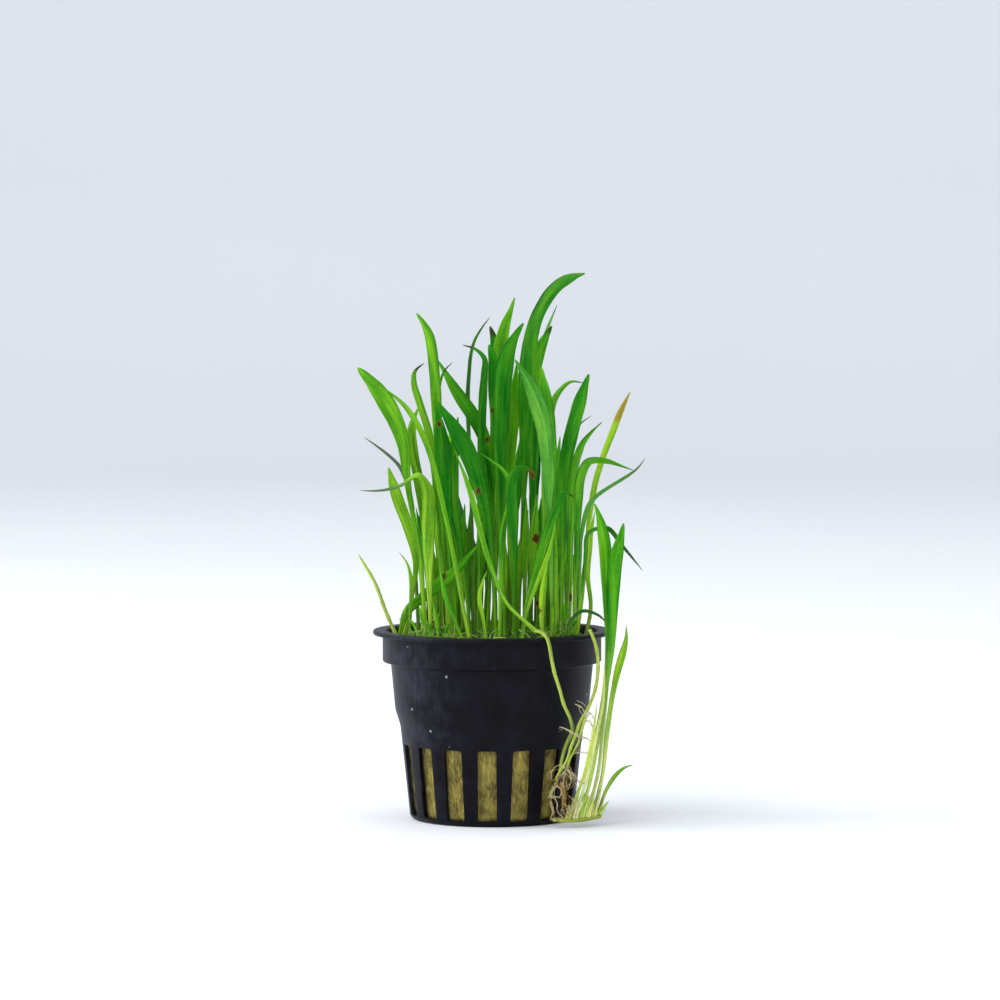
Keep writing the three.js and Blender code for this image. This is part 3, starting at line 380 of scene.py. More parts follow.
pot = piece_of("net_pot", *spun(rounded(POT_OUTSIDE + POT_INSIDE, MOULDED_EDGE), POT_SIDES))
outward(pot)
wall_cutter = slot_cutter("wall_cutter", WALL_SLOT_TOP - WALL_SLOT_BOTTOM, WALL_SLOT_WIDTH,
                          (WALL_CUTTER_OUT, 0, (WALL_SLOT_TOP + WALL_SLOT_BOTTOM) / 2), upright=True)
floor_cutter = slot_cutter("floor_cutter", FLOOR_SLOT_OUTER - FLOOR_SLOT_INNER, FLOOR_SLOT_WIDTH,
                           ((FLOOR_SLOT_OUTER + FLOOR_SLOT_INNER) / 2, 0, 0), upright=False)
grow(pot, slot_ring, cutter=wall_cutter, slots=WALL_SLOTS, first_angle=FIRST_WALL_SLOT, finish=pot_black)
grow(pot, slot_ring, cutter=floor_cutter, slots=FLOOR_SLOTS, first_angle=0.0, finish=pot_black)
for cutter in (wall_cutter, floor_cutter):
    bpy.data.objects.remove(cutter)
eased = pot.modifiers.new("eased slot edges", "BEVEL")
eased.width = SLOT_EDGE * MM
eased.segments = 2
eased.limit_method = "ANGLE"
eased.angle_limit = SLOT_EDGE_FROM
settle(pot)
smooth(pot.data)
pot.data.set_sharp_from_angle(angle=SHARP_FROM)
dress(pot, "pot_plastic", "pot")

# The mineral wool
# A plug of spun mineral fibre that the plant was rooted in, stained olive by algae. Its loose fibres show in
# the pot's slots and between the stalks.
WOOL_INSET = WALL + 0.4
WOOL_TOP = 41.5
WOOL_OUTLINE = [(0, 1.2), (19 - WOOL_INSET, 1.2), (21.2 - WOOL_INSET, 21.5), (22.4 - WOOL_INSET, 26),
                (23.4 - WOOL_INSET, 35.6), (BAND_RADIUS - WOOL_INSET, 38), (BAND_RADIUS - WOOL_INSET, 40.8),
                (BAND_RADIUS - WOOL_INSET - 2.2, WOOL_TOP), (0, WOOL_TOP)]
WOOL_SIDES = 120
WOOL_STEP = 1.1
WOOL_LUMPS = 0.28
WOOL_DARK = (122, 106, 48)
WOOL_OLIVE = (186, 170, 80)
WOOL_STRAW = (222, 206, 136)
# The near black-green that the wool's top darkens to, between the two heights below: partly an algae film,
# partly painted shade under the rim and the leaves
ALGAE_AND_SHADE = (26, 34, 14)
ALGAE_AND_SHADE_FROM = 37.0
ALGAE_AND_SHADE_FULL = 40.5
FIBRE_LENGTH = 3.4
FIBRE_RADIUS = 0.06
FIBRE_RISE = 0.3
FIBRES_FROM = 3.2
FIBRES_ON_TOP = 0.25
THREAD_POINTS = 5


def refined(outline, spacing):
    """An outline with extra points, no further apart than spacing."""
    result = [outline[0]]
    for (x0, y0), (x1, y1) in zip(outline, outline[1:]):
        count = max(1, math.ceil(math.hypot(x1 - x0, y1 - y0) / spacing))
        result += [(x0 + (x1 - x0) * k / count, y0 + (y1 - y0) * k / count) for k in range(1, count + 1)]
    return result


def unit(vectors):
    """Vectors of length one."""
    return vectors / np.linalg.norm(vectors, axis=1, keepdims=True)


def run(points):
    """How far along a line each of its points is."""
    return np.concatenate([[0], np.cumsum(np.linalg.norm(np.diff(points, axis=0), axis=1))])


def round_stem(middles, radii, sides, seed):
    """A closed round stem along its middles, with each corner's place along it."""
    corners, faces, marks = [], [], []
    points = np.array(middles, float)
    forward = unit(np.gradient(points, axis=0))
    side = np.array((0.0, 0.0, 1.0))
    along = run(points)
    for i, (point, ahead) in enumerate(zip(points, forward)):
        side = side - ahead * side.dot(ahead)
        if np.linalg.norm(side) < 1e-3:
            side = np.cross(ahead, (0.0, 1.0, 0.0))
        side = side / np.linalg.norm(side)
        up = np.cross(ahead, side)
        for k in range(sides):
            angle = 2 * math.pi * k / sides
            wobble = 1 + 0.1 * noise.noise((seed * 9, along[i] * 0.5, angle))
            offset = side * math.cos(angle) + up * math.sin(angle)
            corners.append(point + offset * radii[i] * wobble)
            marks.append((math.cos(angle), along[i], 0.02))
        if i:
            faces += band((i - 1) * sides, i * sides, sides)
    faces += [list(range(sides))[::-1], list(range(len(corners) - sides, len(corners)))]
    return corners, faces, marks


def threads(name, lines, radius):
    """Thin three-sided threads along their lines of points, thinner at their ends, as one shape."""
    corners, faces = [], []
    for line in lines:
        line_corners, line_faces, _ = round_stem(line, np.linspace(radius, 0.35 * radius, len(line)), 3, 0)
        faces += [[len(corners) + corner for corner in face] for face in line_faces]
        corners += line_corners
    return piece_of(name, corners, faces)


def bent(length, bend, turn=0.0):
    """The line of a thread that rises and bends over to one side."""
    line = []
    for t in np.linspace(0, 1, THREAD_POINTS):
        out = bend * length * t * t
        sway = 0.12 * length * math.sin(4 * t)
        rise = length * t * (1 - 0.35 * bend * t)
        line.append((out * math.cos(turn), out * math.sin(turn) + sway, rise))
    return line


# Strews one shape over a surface, as many as its "furry" attribute asks for, at random turns and sizes.
strewn, given, result = new_tree(
    "Strewn over a surface",
    {"Surface": "Geometry", "Shape": "Object", "Density": "Float", "Smallest": "Float", "Largest": "Float",
     "Tilt": "Float", "Turn": "Float", "Seed": "Int", "Finish": "Material"},
    {"Surface": "Geometry"},
)
furry = node(strewn, "GeometryNodeInputNamedAttribute", {"Name": "furry"}, data_type="FLOAT").outputs[0]
seeds, tilt, turn = (given[socket] for socket in ("Seed", "Tilt", "Turn"))
scattered = node(strewn, "GeometryNodeDistributePointsOnFaces", {
    "Mesh": given["Surface"], "Density": times(strewn, furry, given["Density"]),
    "Seed": seeds}, distribute_method="RANDOM").outputs
most = node(strewn, "ShaderNodeCombineXYZ", {"X": tilt, "Y": tilt, "Z": turn}).outputs[0]
least = node(strewn, "ShaderNodeVectorMath", {0: most, "Scale": -1.0}, operation="SCALE").outputs[0]
turns = node(strewn, "FunctionNodeRandomValue", {"Min": least, "Max": most, "Seed": seeds},
             data_type="FLOAT_VECTOR").outputs[0]
lean = node(strewn, "FunctionNodeEulerToRotation", {0: turns}).outputs[0]
aimed = node(strewn, "FunctionNodeRotateRotation", {0: scattered["Rotation"], 1: lean},
             rotation_space="LOCAL").outputs[0]
sizes = node(strewn, "FunctionNodeRandomValue", {
    2: given["Smallest"], 3: given["Largest"], "Seed": maths(strewn, "ADD", seeds, 7.0)},
    data_type="FLOAT").outputs[1]
shapes = node(strewn, "GeometryNodeInstanceOnPoints", {
    "Points": scattered["Points"], "Instance": shape_of(strewn, given["Shape"]),
    "Rotation": aimed, "Scale": sizes}).outputs[0]
close_tree(strewn, result, shapes, given["Finish"])


def strew(name, ground, where, shape, finish, turn=math.pi, **values):
    """A new piece of one shape strewn over the ground, as thickly as where(corner in mm) says."""
    piece = bpy.data.objects.new(name, ground.data.copy())
    scene.collection.objects.link(piece)
    marks = piece.data.attributes.new("furry", "FLOAT", "POINT")
    marks.data.foreach_set("value", [where(corner.co / MM) for corner in ground.data.vertices])
    grow(piece, strewn, shape=shape, finish=finish, turn=turn, **values)
    bpy.data.objects.remove(shape)
    smooth(piece.data)
    return piece


# The fibres lie matted and mostly upright, in clumps that algae have stained. They are darkest at the top,
# where they turn near black-green: partly an algae film, partly painted shade under the rim and the leaves.
wool_finish, tree, shader = new_material("mineral wool")
here = millimetres(tree)
clumps = mottle(tree, here, 0.35, 5.0, 0.6)
matted = mottle(tree, stretched(tree, here, (2.6, 2.6, 0.7)), 1.0, 6.0, 0.7, 1.0)
stained = blend_colours(tree, spread(tree, clumps, 0.35, 0.65), WOOL_DARK, WOOL_OLIVE)
streaked = blend_colours(tree, spread(tree, matted, 0.5, 0.72), stained, WOOL_STRAW)
# Painted shade with algae: the wool darkens towards its top, under the rim and the leaves
near_top = spread(tree, parts_of(tree, here)[2], ALGAE_AND_SHADE_FROM, ALGAE_AND_SHADE_FULL)
algae_and_shade = times(tree, near_top, spread(tree, clumps, 0.3, 0.6, 0.95, 0.6))
coat(tree, shader, blend_colours(tree, algae_and_shade, streaked, ALGAE_AND_SHADE), swing(tree, matted, 0.75, 0.95))
bump(tree, shader, matted, 0.5)

wool = piece_of("mineral_wool", *spun(refined(WOOL_OUTLINE, WOOL_STEP), WOOL_SIDES), wool_finish)
for corner in wool.data.vertices:
    lump = noise.noise(corner.co / MM * 0.45) + 0.5 * noise.noise(corner.co / MM * 1.3)
    corner.co *= 1 + WOOL_LUMPS * (lump - 0.6) / max(8, corner.co.length / MM)
outward(wool)
dress(wool, "mineral_wool", "growing_medium")


def in_slots_or_on_top(corner):
    """How thickly loose fibres lie on the wool: where a slot bares it, and on its top."""
    if corner.z > WOOL_TOP - 1.5:
        return FIBRES_ON_TOP
    apart = 2 * math.pi / WALL_SLOTS
    off = (math.atan2(corner.y, corner.x) - FIRST_WALL_SLOT + apart / 2) % apart - apart / 2
    bared = abs(off) * math.hypot(corner.x, corner.y) < WALL_SLOT_WIDTH / 2 + 0.6
    return 1.0 if bared and FIBRES_FROM < corner.z < WALL_SLOT_TOP + 1 else 0.0


arch = [(0, FIBRE_LENGTH * (t - 0.5), FIBRE_RISE * (1 - (2 * t - 1) ** 2) - 0.03)
        for t in np.linspace(0, 1, 6)]
fibres = strew("wool_fibres", wool, in_slots_or_on_top, threads("fibre_shape", [arch], FIBRE_RADIUS),
               wool_finish, turn=0.55, density=2.4e6, smallest=0.5, largest=1.1, tilt=0.12, seed=3)
dress(fibres, "mineral_wool")

# The single leaves
# Each is one fleshy strap: a nearly round stalk at its foot that widens to a thin blade with a soft channel
# along its middle, fine veins, and a pointed tip that often dries brown. Some carry brown bruises, and
# leaf_38 carries a brown patch on its tip that is painted shadow under its hanging curl.
LEAF_SIDES = 12
LEAF_STEP = 0.75
CHANNEL = 0.16
RIPPLE = 0.16
WIDTH_WAVE = 0.09
ROUNDNESS = 0.8
STALK_SHARE = 0.7
STALK_FROM = 0.1
STALK_UNTIL = 0.6
BLUNTNESS = 1.6
BLUNT_LEAVES = {1: 2.2, 3: 2.2, 14: 2.6}
TIP_HALF = 0.04
THINNEST = 0.03
FOOT_DEPTH = 1.1
FLOOR_GAP = 0.02
# Each tone: the blade's colour, the stalk's, the slot for its finish and the numbers of the leaves in it
TONES = {
    "light": ((88, 156, 24), (130, 178, 46), "leaf_light", (1, 2, 3, 6, 17, 25, 29, 46)),
    "lime": ((110, 166, 32), (140, 178, 54), "leaf_light", (7, 8, 9, 12, 39)),
    "fresh": ((70, 150, 18), (118, 172, 38), "leaf_mid", (5, 13, 24, 28, 31, 33, 36, 42)),
    "meadow": ((52, 136, 14), (102, 164, 32), "leaf_mid", (4, 14, 16, 20, 22, 26, 35, 44)),
    "deep": ((34, 118, 8), (86, 150, 24), "leaf_deep", (18, 21, 38, 43, 45)),
    "cool": ((74, 148, 46), (104, 160, 48), "leaf_light", (15, 23, 27, 32)),
    "shade": ((62, 122, 44), (104, 152, 48), "leaf_deep", (19, 40)),
    "slate": ((80, 104, 72), (104, 140, 64), "leaf_deep", (10,)),
    "young": ((122, 174, 30), (142, 176, 58), "leaf_young", (30, 34, 37, 41)),
    "pale": ((180, 196, 96), (210, 218, 146), "leaf_young", ()),
    "straw": ((196, 152, 52), (186, 150, 66), "leaf_young", ()),
}
DRY_TIP = (50, 50, 32)
OCHRE_TIP = (152, 134, 44)
SLATE_TIP = (70, 100, 66)
# Brown for bruises and some dry ends, and for the painted shadow on leaf_38's tip
BRUISE_AND_SHADOW = (84, 44, 16)
BRUISE_AND_SHADOW_BORDER = (140, 136, 40)
# Where along its length a leaf's end has turned, over how long a share, and to what colour
GREEN_TIP = (1.3, 0.02, DRY_TIP)
DRY_FROM = {5: 0.95, 6: 0.955, 16: 0.965, 17: 0.985, 18: 0.955, 20: 0.955, 26: 0.985, 28: 0.975}
LEAF_TIPS = {number: (share, 0.02, DRY_TIP) for number, share in DRY_FROM.items()} | {
    8: (0.74, 0.16, SLATE_TIP), 12: (0.9, 0.06, OCHRE_TIP), 15: (0.96, 0.03, DRY_TIP),
    19: (0.93, 0.06, DRY_TIP), 25: (0.95, 0.05, SLATE_TIP), 27: (0.9, 0.08, SLATE_TIP),
    30: (0.85, 0.04, OCHRE_TIP), 32: (0.8, 0.16, SLATE_TIP), 33: (0.66, 0.2, SLATE_TIP),
    # leaf_38's brown end is painted shadow under its hanging curl; leaf_35's is a brown tip
    35: (0.965, 0.015, BRUISE_AND_SHADOW), 38: (0.93, 0.03, BRUISE_AND_SHADOW),
}
# Bruises as (x, z, half width, half height) in millimetres; leaf_38's patch is painted shadow, not a bruise
BRUISES_AND_SHADOWS = {
    "leaf_04": [(-1.3, 87.4, 0.6, 0.8)],
    "leaf_13": [(-11.1, 56.8, 0.6, 1.1)],
    "leaf_22": [(0.2, 94.3, 0.6, 0.7)],
    "leaf_29": [(18, 50.6, 0.8, 1.2)],
    "leaf_34": [(10.5, 49.4, 0.9, 0.8)],
    "leaf_37": [(10.5, 49.4, 0.9, 0.8)],
    # Painted shadow under the hanging curl of leaf_38's tip
    "leaf_38": [(8.6, 79.9, 1.4, 1.1)],
    "leaf_43": [(-12.1, 91.6, 0.6, 0.7)],
    "leaf_45": [(-3.1, 76.3, 0.6, 0.8)],
    "shoot_middle_right": [(10.3, 64.6, 1.0, 1.1), (10.5, 49.4, 0.9, 0.8), (18, 50.6, 0.8, 1.2)],
    "shoot_back_right": [(18, 50.6, 0.8, 1.2)],
}
# How leaf flesh takes light: a low gloss, and a little that shines through, green furthest
FLESH = {"Specular IOR Level": 0.09, "Subsurface Weight": 0.25, "Subsurface Radius": (0.5, 1.0, 0.2),
         "Subsurface Scale": MM}
VEIN_DEPTH = 0.09

# What every leaf and runner is made of. "leaf_place" on the mesh holds how far a point is across the
# strap, from -1 to 1, how far along in millimetres, and at what share of its length.
tissue, given, result = new_tree(
    "Strap leaf tissue",
    {"Stalk": "Color", "Blade": "Color", "Tip": "Color", "Blade from": "Float", "Tip from": "Float",
     "Tip fade": "Float", "Own shade": "Float"},
    {"Colour": "Color", "Roughness": "Float", "Height": "Float"},
    kind="ShaderNodeTree",
)
leaf_place = node(tissue, "ShaderNodeAttribute", attribute_name="leaf_place").outputs["Vector"]
across, along, share = parts_of(tissue, leaf_place)
seed = node(tissue, "ShaderNodeAttribute", attribute_name="leaf_seed").outputs["Fac"]


def streaks(across_scale, along_scale, shift, detail):
    """Noise drawn out along the leaf."""
    point = node(tissue, "ShaderNodeCombineXYZ", {
        "X": times(tissue, across, across_scale), "Y": times(tissue, along, along_scale),
        "Z": maths(tissue, "MULTIPLY_ADD", seed, 23.0, shift)}).outputs[0]
    return mottle(tissue, point, 1.0, detail)


broad = streaks(1.1, 0.07, 0.0, 2.0)
fine = streaks(6.0, 0.12, 5.0, 3.0)
flecks = mottle(tissue, millimetres(tissue), 1.3, 4.0)
from_middle = maths(tissue, "ABSOLUTE", across)
# Painted highlight: the band along the midrib is painted lighter
rib = spread(tissue, from_middle, 0.0, 0.16, 1.0, 0.0)
# Painted shade: the strap's edges are painted darker, where the blade turns away and meets its neighbours
edge_shade = spread(tissue, from_middle, 0.72, 1.0)
waves = maths(tissue, "SINE", times(tissue, along, 0.85))
joints = maths(tissue, "POWER", maths(tissue, "ABSOLUTE", waves), 24.0)
widening = spread(tissue, share, 0.03, given["Blade from"])
green = blend_colours(tissue, widening, given["Stalk"], given["Blade"])
own = maths(tissue, "SUBTRACT", maths(tissue, "FRACT", times(tissue, seed, 17.3)), 0.5)
own = times(tissue, own, given["Own shade"])
# The painted midrib highlight and the painted edge shade go into the strap's lightness here, with the random
# streaks, flecks and each strap's own tone
light = total(tissue, 1.0, spread(tissue, broad, 0.25, 0.75, -0.34, 0.34), swing(tissue, fine, -0.16, 0.16),
              swing(tissue, flecks, -0.07, 0.07), own, times(tissue, rib, 0.18),
              times(tissue, edge_shade, -0.38), times(tissue, joints, -0.05))
hue = total(tissue, 0.5, spread(tissue, broad, 0.3, 0.75, 0.012, -0.022), times(tissue, own, -0.05))
lit = node(tissue, "ShaderNodeHueSaturation", {"Hue": hue, "Value": light, "Color": green}).outputs[0]
dry = total(tissue, share, swing(tissue, fine, -0.008, 0.008))
dry = spread(tissue, dry, given["Tip from"], total(tissue, given["Tip from"], given["Tip fade"]))
made = {
    "Colour": blend_colours(tissue, dry, lit, given["Tip"]),
    "Roughness": total(tissue, swing(tissue, flecks, 0.4, 0.54), times(tissue, dry, 0.2)),
    "Height": total(tissue, times(tissue, fine, 0.5), times(tissue, rib, -0.5), times(tissue, joints, -0.25)),
}
for socket, value in made.items():
    tissue.links.new(value, result[socket])

# A brown bruise at one place of a leaf, as seen from the front, with a yellowed border. The same patch
# paints the shadow under leaf_38's hanging curl.
patch_of_bruise_and_shadow, given, result = new_tree(
    "Bruise",
    {"Colour": "Color", "X": "Float", "Z": "Float", "Half width": "Float", "Half height": "Float"},
    {"Colour": "Color"},
    kind="ShaderNodeTree",
)
here = millimetres(patch_of_bruise_and_shadow)
squares = []
for axis, middle, half in ((0, "X", "Half width"), (2, "Z", "Half height")):
    off = maths(patch_of_bruise_and_shadow, "SUBTRACT", parts_of(patch_of_bruise_and_shadow, here)[axis], given[middle])
    off = maths(patch_of_bruise_and_shadow, "DIVIDE", off, given[half])
    squares.append(times(patch_of_bruise_and_shadow, off, off))
ragged = swing(patch_of_bruise_and_shadow, mottle(patch_of_bruise_and_shadow, here, 1.8, 3.0), -0.25, 0.25)
away = total(patch_of_bruise_and_shadow, maths(patch_of_bruise_and_shadow, "SQRT", total(patch_of_bruise_and_shadow, *squares)), ragged)
bordered = blend_colours(patch_of_bruise_and_shadow, spread(patch_of_bruise_and_shadow, away, 0.8, 1.8, 0.3, 0.0), given["Colour"], BRUISE_AND_SHADOW_BORDER)
bruised_and_shaded = blend_colours(patch_of_bruise_and_shadow, spread(patch_of_bruise_and_shadow, away, 0.55, 1.1, 1.0, 0.0), bordered, BRUISE_AND_SHADOW)
patch_of_bruise_and_shadow.links.new(bruised_and_shaded, result["Colour"])


def leaf_finish(name, kind, tip=GREEN_TIP, bruises_and_shadows=(), blade_from=0.5, stalk=None, own_shade=0.0):
    """A leaf's own material."""
    material, tree, shader = new_material(name)
    blade_tone, stalk_tone, _, _ = TONES[kind]
    tip_from, tip_fade, tip_tone = tip
    inside = node(tree, "ShaderNodeGroup", {
        "Stalk": tone(*(stalk or stalk_tone)), "Blade": tone(*blade_tone), "Tip": tone(*tip_tone),
        "Blade from": blade_from, "Tip from": tip_from, "Tip fade": tip_fade, "Own shade": own_shade},
        node_tree=tissue).outputs
    colour = inside["Colour"]
    for x, z, half_width, half_height in bruises_and_shadows:
        colour = node(tree, "ShaderNodeGroup", {
            "Colour": colour, "X": x, "Z": z, "Half width": half_width, "Half height": half_height},
            node_tree=patch_of_bruise_and_shadow).outputs["Colour"]
    coat(tree, shader, colour, inside["Roughness"])
    bump(tree, shader, inside["Height"], VEIN_DEPTH)
    for socket, value in FLESH.items():
        shader.inputs[socket].default_value = value
    return material


def joined_form(name):
    """A solid's corners and edges, with its loose triangles joined."""
    form = bmesh.new()
    form.from_mesh(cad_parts[name].data)
    bmesh.ops.remove_doubles(form, verts=form.verts, dist=2e-6)
    form.verts.index_update()
    form.verts.ensure_lookup_table()
    return form


def next_level(level, seen):
    """The corners that join a level of corners and weren't seen yet."""
    beyond = {edge.other_vert(corner) for corner in level for edge in corner.link_edges} - seen
    return sorted(beyond, key=lambda corner: corner.index)


def strap_rings(form):
    """The straps in a form, each as its rings of four corners from the foot up, and its tip, in mm."""
    straps, used = [], set()
    for tip in form.verts:
        if len(tip.link_edges) != 4:
            continue
        rings, seen, level = [], {tip}, [tip]
        while True:
            level = next_level(level, seen)
            if len(level) != 4:
                break
            seen.update(level)
            rings.append([corner.co / MM for corner in level])
        if len(rings) > 2:
            straps.append((rings[::-1], tip.co / MM))
            used |= seen
    return straps, used


def only_strap(name):
    """The rings and the tip of a solid that is one strap."""
    form = joined_form(name)
    (strap,), _ = strap_rings(form)
    form.free()
    return strap


def half_axes(corners, before):
    """A ring's middle and the two half axes of its section, the long one turned as the one before."""
    a, b, c, d = corners
    pairs = ((a, b, c, d), (a, c, b, d), (a, d, b, c))
    a, b, c, d = min(pairs, key=lambda pair: (pair[0] + pair[1] - pair[2] - pair[3]).length)
    across, through = sorted(((a - b) / 2, (c - d) / 2), key=lambda axis: -axis.length)
    if before is not None and across.dot(before) < 0:
        across = -across
    return (a + b + c + d) / 4, across, through.length


def between(places, values, at):
    """Values at places along a line, smoothly drawn in between."""
    slopes = np.gradient(values, places, axis=0)
    low = np.clip(np.searchsorted(places, at, side="right") - 1, 0, len(places) - 2)
    step = places[low + 1] - places[low]
    t = (at - places[low]) / step
    if values.ndim > 1:
        t, step = t[:, None], step[:, None]
    drawn = values[low] * (2 * t ** 3 - 3 * t ** 2 + 1) + values[low + 1] * (3 * t ** 2 - 2 * t ** 3)
    drawn = drawn + slopes[low] * step * (t ** 3 - 2 * t ** 2 + t)
    return drawn + slopes[low + 1] * step * (t ** 3 - t ** 2)


def fine_strap(rings, tip, seed, sides=LEAF_SIDES, bluntness=BLUNTNESS, stalk_share=STALK_SHARE):
    """The fine surface of one strap: its corners, faces and each corner's place on the leaf."""
    middles, axes, halves = [], [], []
    for corners in rings:
        middle, across, half = half_axes(corners, axes[-1] if axes else None)
        middles.append(middle)
        axes.append(across)
        halves.append((across.length, half))
    foot = middles[0] + (middles[0] - middles[1]).normalized() * FOOT_DEPTH
    middles = np.array([foot, *middles, tip])
    axes = np.array([axes[0], *axes, axes[-1]])
    halves = np.array([halves[0], *halves, (TIP_HALF, TIP_HALF)])
    places = run(middles)
    length = places[-1]
    end = min(bluntness * halves[:, 0].max(), length / 4)
    at = np.linspace(0, length - end, math.ceil(length / LEAF_STEP))
    at = np.concatenate([at, length - end * np.linspace(1, 0.1, 8)[1:] ** 2])
    centre = between(places, middles, at)
    forward = unit(np.gradient(centre, at, axis=0))
    broad = between(places, unit(axes), at)
    broad = unit(broad - forward * np.sum(broad * forward, axis=1, keepdims=True))
    thin = np.cross(forward, broad)
    width, thickness = np.maximum(between(places, halves, at), THINNEST).T
    wave = np.array([noise.noise((seed * 13.7, s * 0.16, 0.5)) for s in at])
    ripple = np.array([noise.noise((seed * 5.1, s * 0.21, 4.5)) for s in at])
    slimmed = np.interp(at / length, (0, STALK_FROM, STALK_UNTIL), (1, stalk_share, 1))
    width = width * (1 + WIDTH_WAVE * wave) * slimmed
    rounded_end = np.interp(length - end, at, width) * np.sqrt((length - at) / end)
    width = np.where(at > length - end, np.maximum(width, rounded_end), width)
    angles = 2 * np.pi * np.arange(sides) / sides
    u = np.sign(np.cos(angles)) * np.abs(np.cos(angles)) ** ROUNDNESS
    v = np.sin(angles)
    corners, marks, faces = [], [], []
    for i in range(len(at)):
        gutter = width[i] * (CHANNEL * (u ** 2 - 0.5) + RIPPLE * ripple[i] * u)
        section = centre[i] + np.outer(u * width[i], broad[i]) + np.outer(v * thickness[i] + gutter, thin[i])
        corners += list(section)
        marks += [(x, at[i], at[i] / length) for x in u]
        if i:
            faces += band((i - 1) * sides, i * sides, sides)
    faces.append(list(range(sides))[::-1])
    peak = len(corners)
    corners.append(centre[-1] + forward[-1] * 0.01)
    marks.append((0, length, 1))
    faces += [[peak - sides + k, peak - sides + (k + 1) % sides, peak] for k in range(sides)]
    return corners, faces, marks


def leafy_piece(name, parts):
    """One piece from several surfaces, each as (corners, faces, marks, seed, material)."""
    corners, faces, marks, seeds, slots, materials = [], [], [], [], [], []
    for part_corners, part_faces, part_marks, seed, material in parts:
        if material not in materials:
            materials.append(material)
        first = len(corners)
        corners += [(x, y, max(z, FLOOR_GAP)) for x, y, z in part_corners]
        faces += [[first + corner for corner in face] for face in part_faces]
        marks += part_marks
        seeds += [seed] * len(part_corners)
        slots += [materials.index(material)] * len(part_faces)
    piece = piece_of(name, corners, faces)
    for material in materials:
        piece.data.materials.append(material)
    piece.data.polygons.foreach_set("material_index", slots)
    places = piece.data.attributes.new("leaf_place", "FLOAT_VECTOR", "POINT")
    places.data.foreach_set("vector", [part for mark in marks for part in mark])
    numbers = piece.data.attributes.new("leaf_seed", "FLOAT", "POINT")
    numbers.data.foreach_set("value", seeds)
    return piece


kinds_of_leaves = {number: kind for kind, (_, _, _, numbers) in TONES.items() for number in numbers}
for index, number in enumerate(sorted(kinds_of_leaves)):
    name, kind = f"leaf_{number:02d}", kinds_of_leaves[number]
    rings, tip = only_strap(name)
    seed = (index * 0.37) % 1
    finish = leaf_finish(name + " tissue", kind, LEAF_TIPS.get(number, GREEN_TIP), BRUISES_AND_SHADOWS.get(name, ()))
    strap = fine_strap(rings, tip, seed, bluntness=BLUNT_LEAVES.get(number, BLUNTNESS))
    dress(leafy_piece(name + "_fine", [(*strap, seed, finish)]), TONES[kind][2], name)

# The shoots and sprouts
# Short creeping stems that carry a row of leaves, all grown as one. The shoots stand behind the single
# leaves, and the young sprouts just inside the rim.
SHOOT_TONES = {
    "shoot_back_left": ("meadow", "fresh"), "shoot_back_middle": ("deep", "meadow"),
    "shoot_back_right": ("meadow", "fresh"), "shoot_middle_left": ("fresh", "light"),
    "shoot_middle_right": ("fresh", "light"), "sprouts_left": ("meadow", "fresh"),
    "sprouts_right": ("meadow", "fresh"),
}
SHOOT_STALK = (84, 134, 30)
SPROUT_STALK = (110, 160, 42)
BACK_STALK_SHARE = 0.95
SHOOT_LEAF_SIDES = 10
STEM_RADIUS = 0.72
STEM_SIDES = 10


def stem_rings(form, used):
    """The middles of a shoot's creeping stem, from end to end, read from its corners of four, in mm."""
    left = [corner for corner in form.verts if corner not in used]
    reach = max(left, key=lambda corner: (corner.co - left[0].co).length).co
    by_the_end = sorted(left, key=lambda corner: (corner.co - reach).length)[:8]
    for level in combinations(by_the_end, 4):
        middles, seen = [], set(level)
        while len(level) == 4:
            middles.append(sum((corner.co for corner in level), Vector()) / 4 / MM)
            level = [corner for corner in next_level(level, seen) if corner not in used]
            seen.update(level)
        if len(seen) == len(left) == 4 * len(middles):
            return middles
    raise ValueError("a creeping stem has no end of four corners")


def creeping_stem(form, straps_corners, seed, finish, radius=STEM_RADIUS):
    """A shoot's stem as a fine surface. A strap's lowest corners, which join the stem, are the stem's own."""
    used = {corner for corner in straps_corners
            if all(edge.other_vert(corner) in straps_corners for edge in corner.link_edges)}
    rough = np.array(stem_rings(form, used))
    places = run(rough)
    at = np.linspace(0, places[-1], 4 * len(rough))
    ends = np.minimum(at, places[-1] - at)
    radii = radius * np.sqrt(np.clip(ends / radius, 0.06, 1))
    return *round_stem(between(places, rough, at), radii, STEM_SIDES, seed), seed, finish


for index, (name, kinds) in enumerate(SHOOT_TONES.items()):
    form = joined_form(name)
    straps, used = strap_rings(form)
    stalk_tone = SHOOT_STALK if name.startswith("shoot") else SPROUT_STALK
    stalk_share = BACK_STALK_SHARE if name.startswith("shoot_back") else STALK_SHARE
    finishes = [leaf_finish(f"{name} tissue {k}", kind, bruises_and_shadows=BRUISES_AND_SHADOWS.get(name, ()), blade_from=0.6,
                            stalk=stalk_tone, own_shade=1.0)
                for k, kind in enumerate(kinds)]
    parts = []
    for k, (rings, tip) in enumerate(straps):
        seed = (index * 0.29 + k * 0.173) % 1
        strap = fine_strap(rings[1:], tip, seed, sides=SHOOT_LEAF_SIDES, stalk_share=stalk_share)
        parts.append((*strap, seed, finishes[k % 2]))
    parts.append(creeping_stem(form, used, index * 0.31, finishes[0]))
    dress(leafy_piece(name + "_fine", parts), TONES[kinds[0]][2], name)
    form.free()

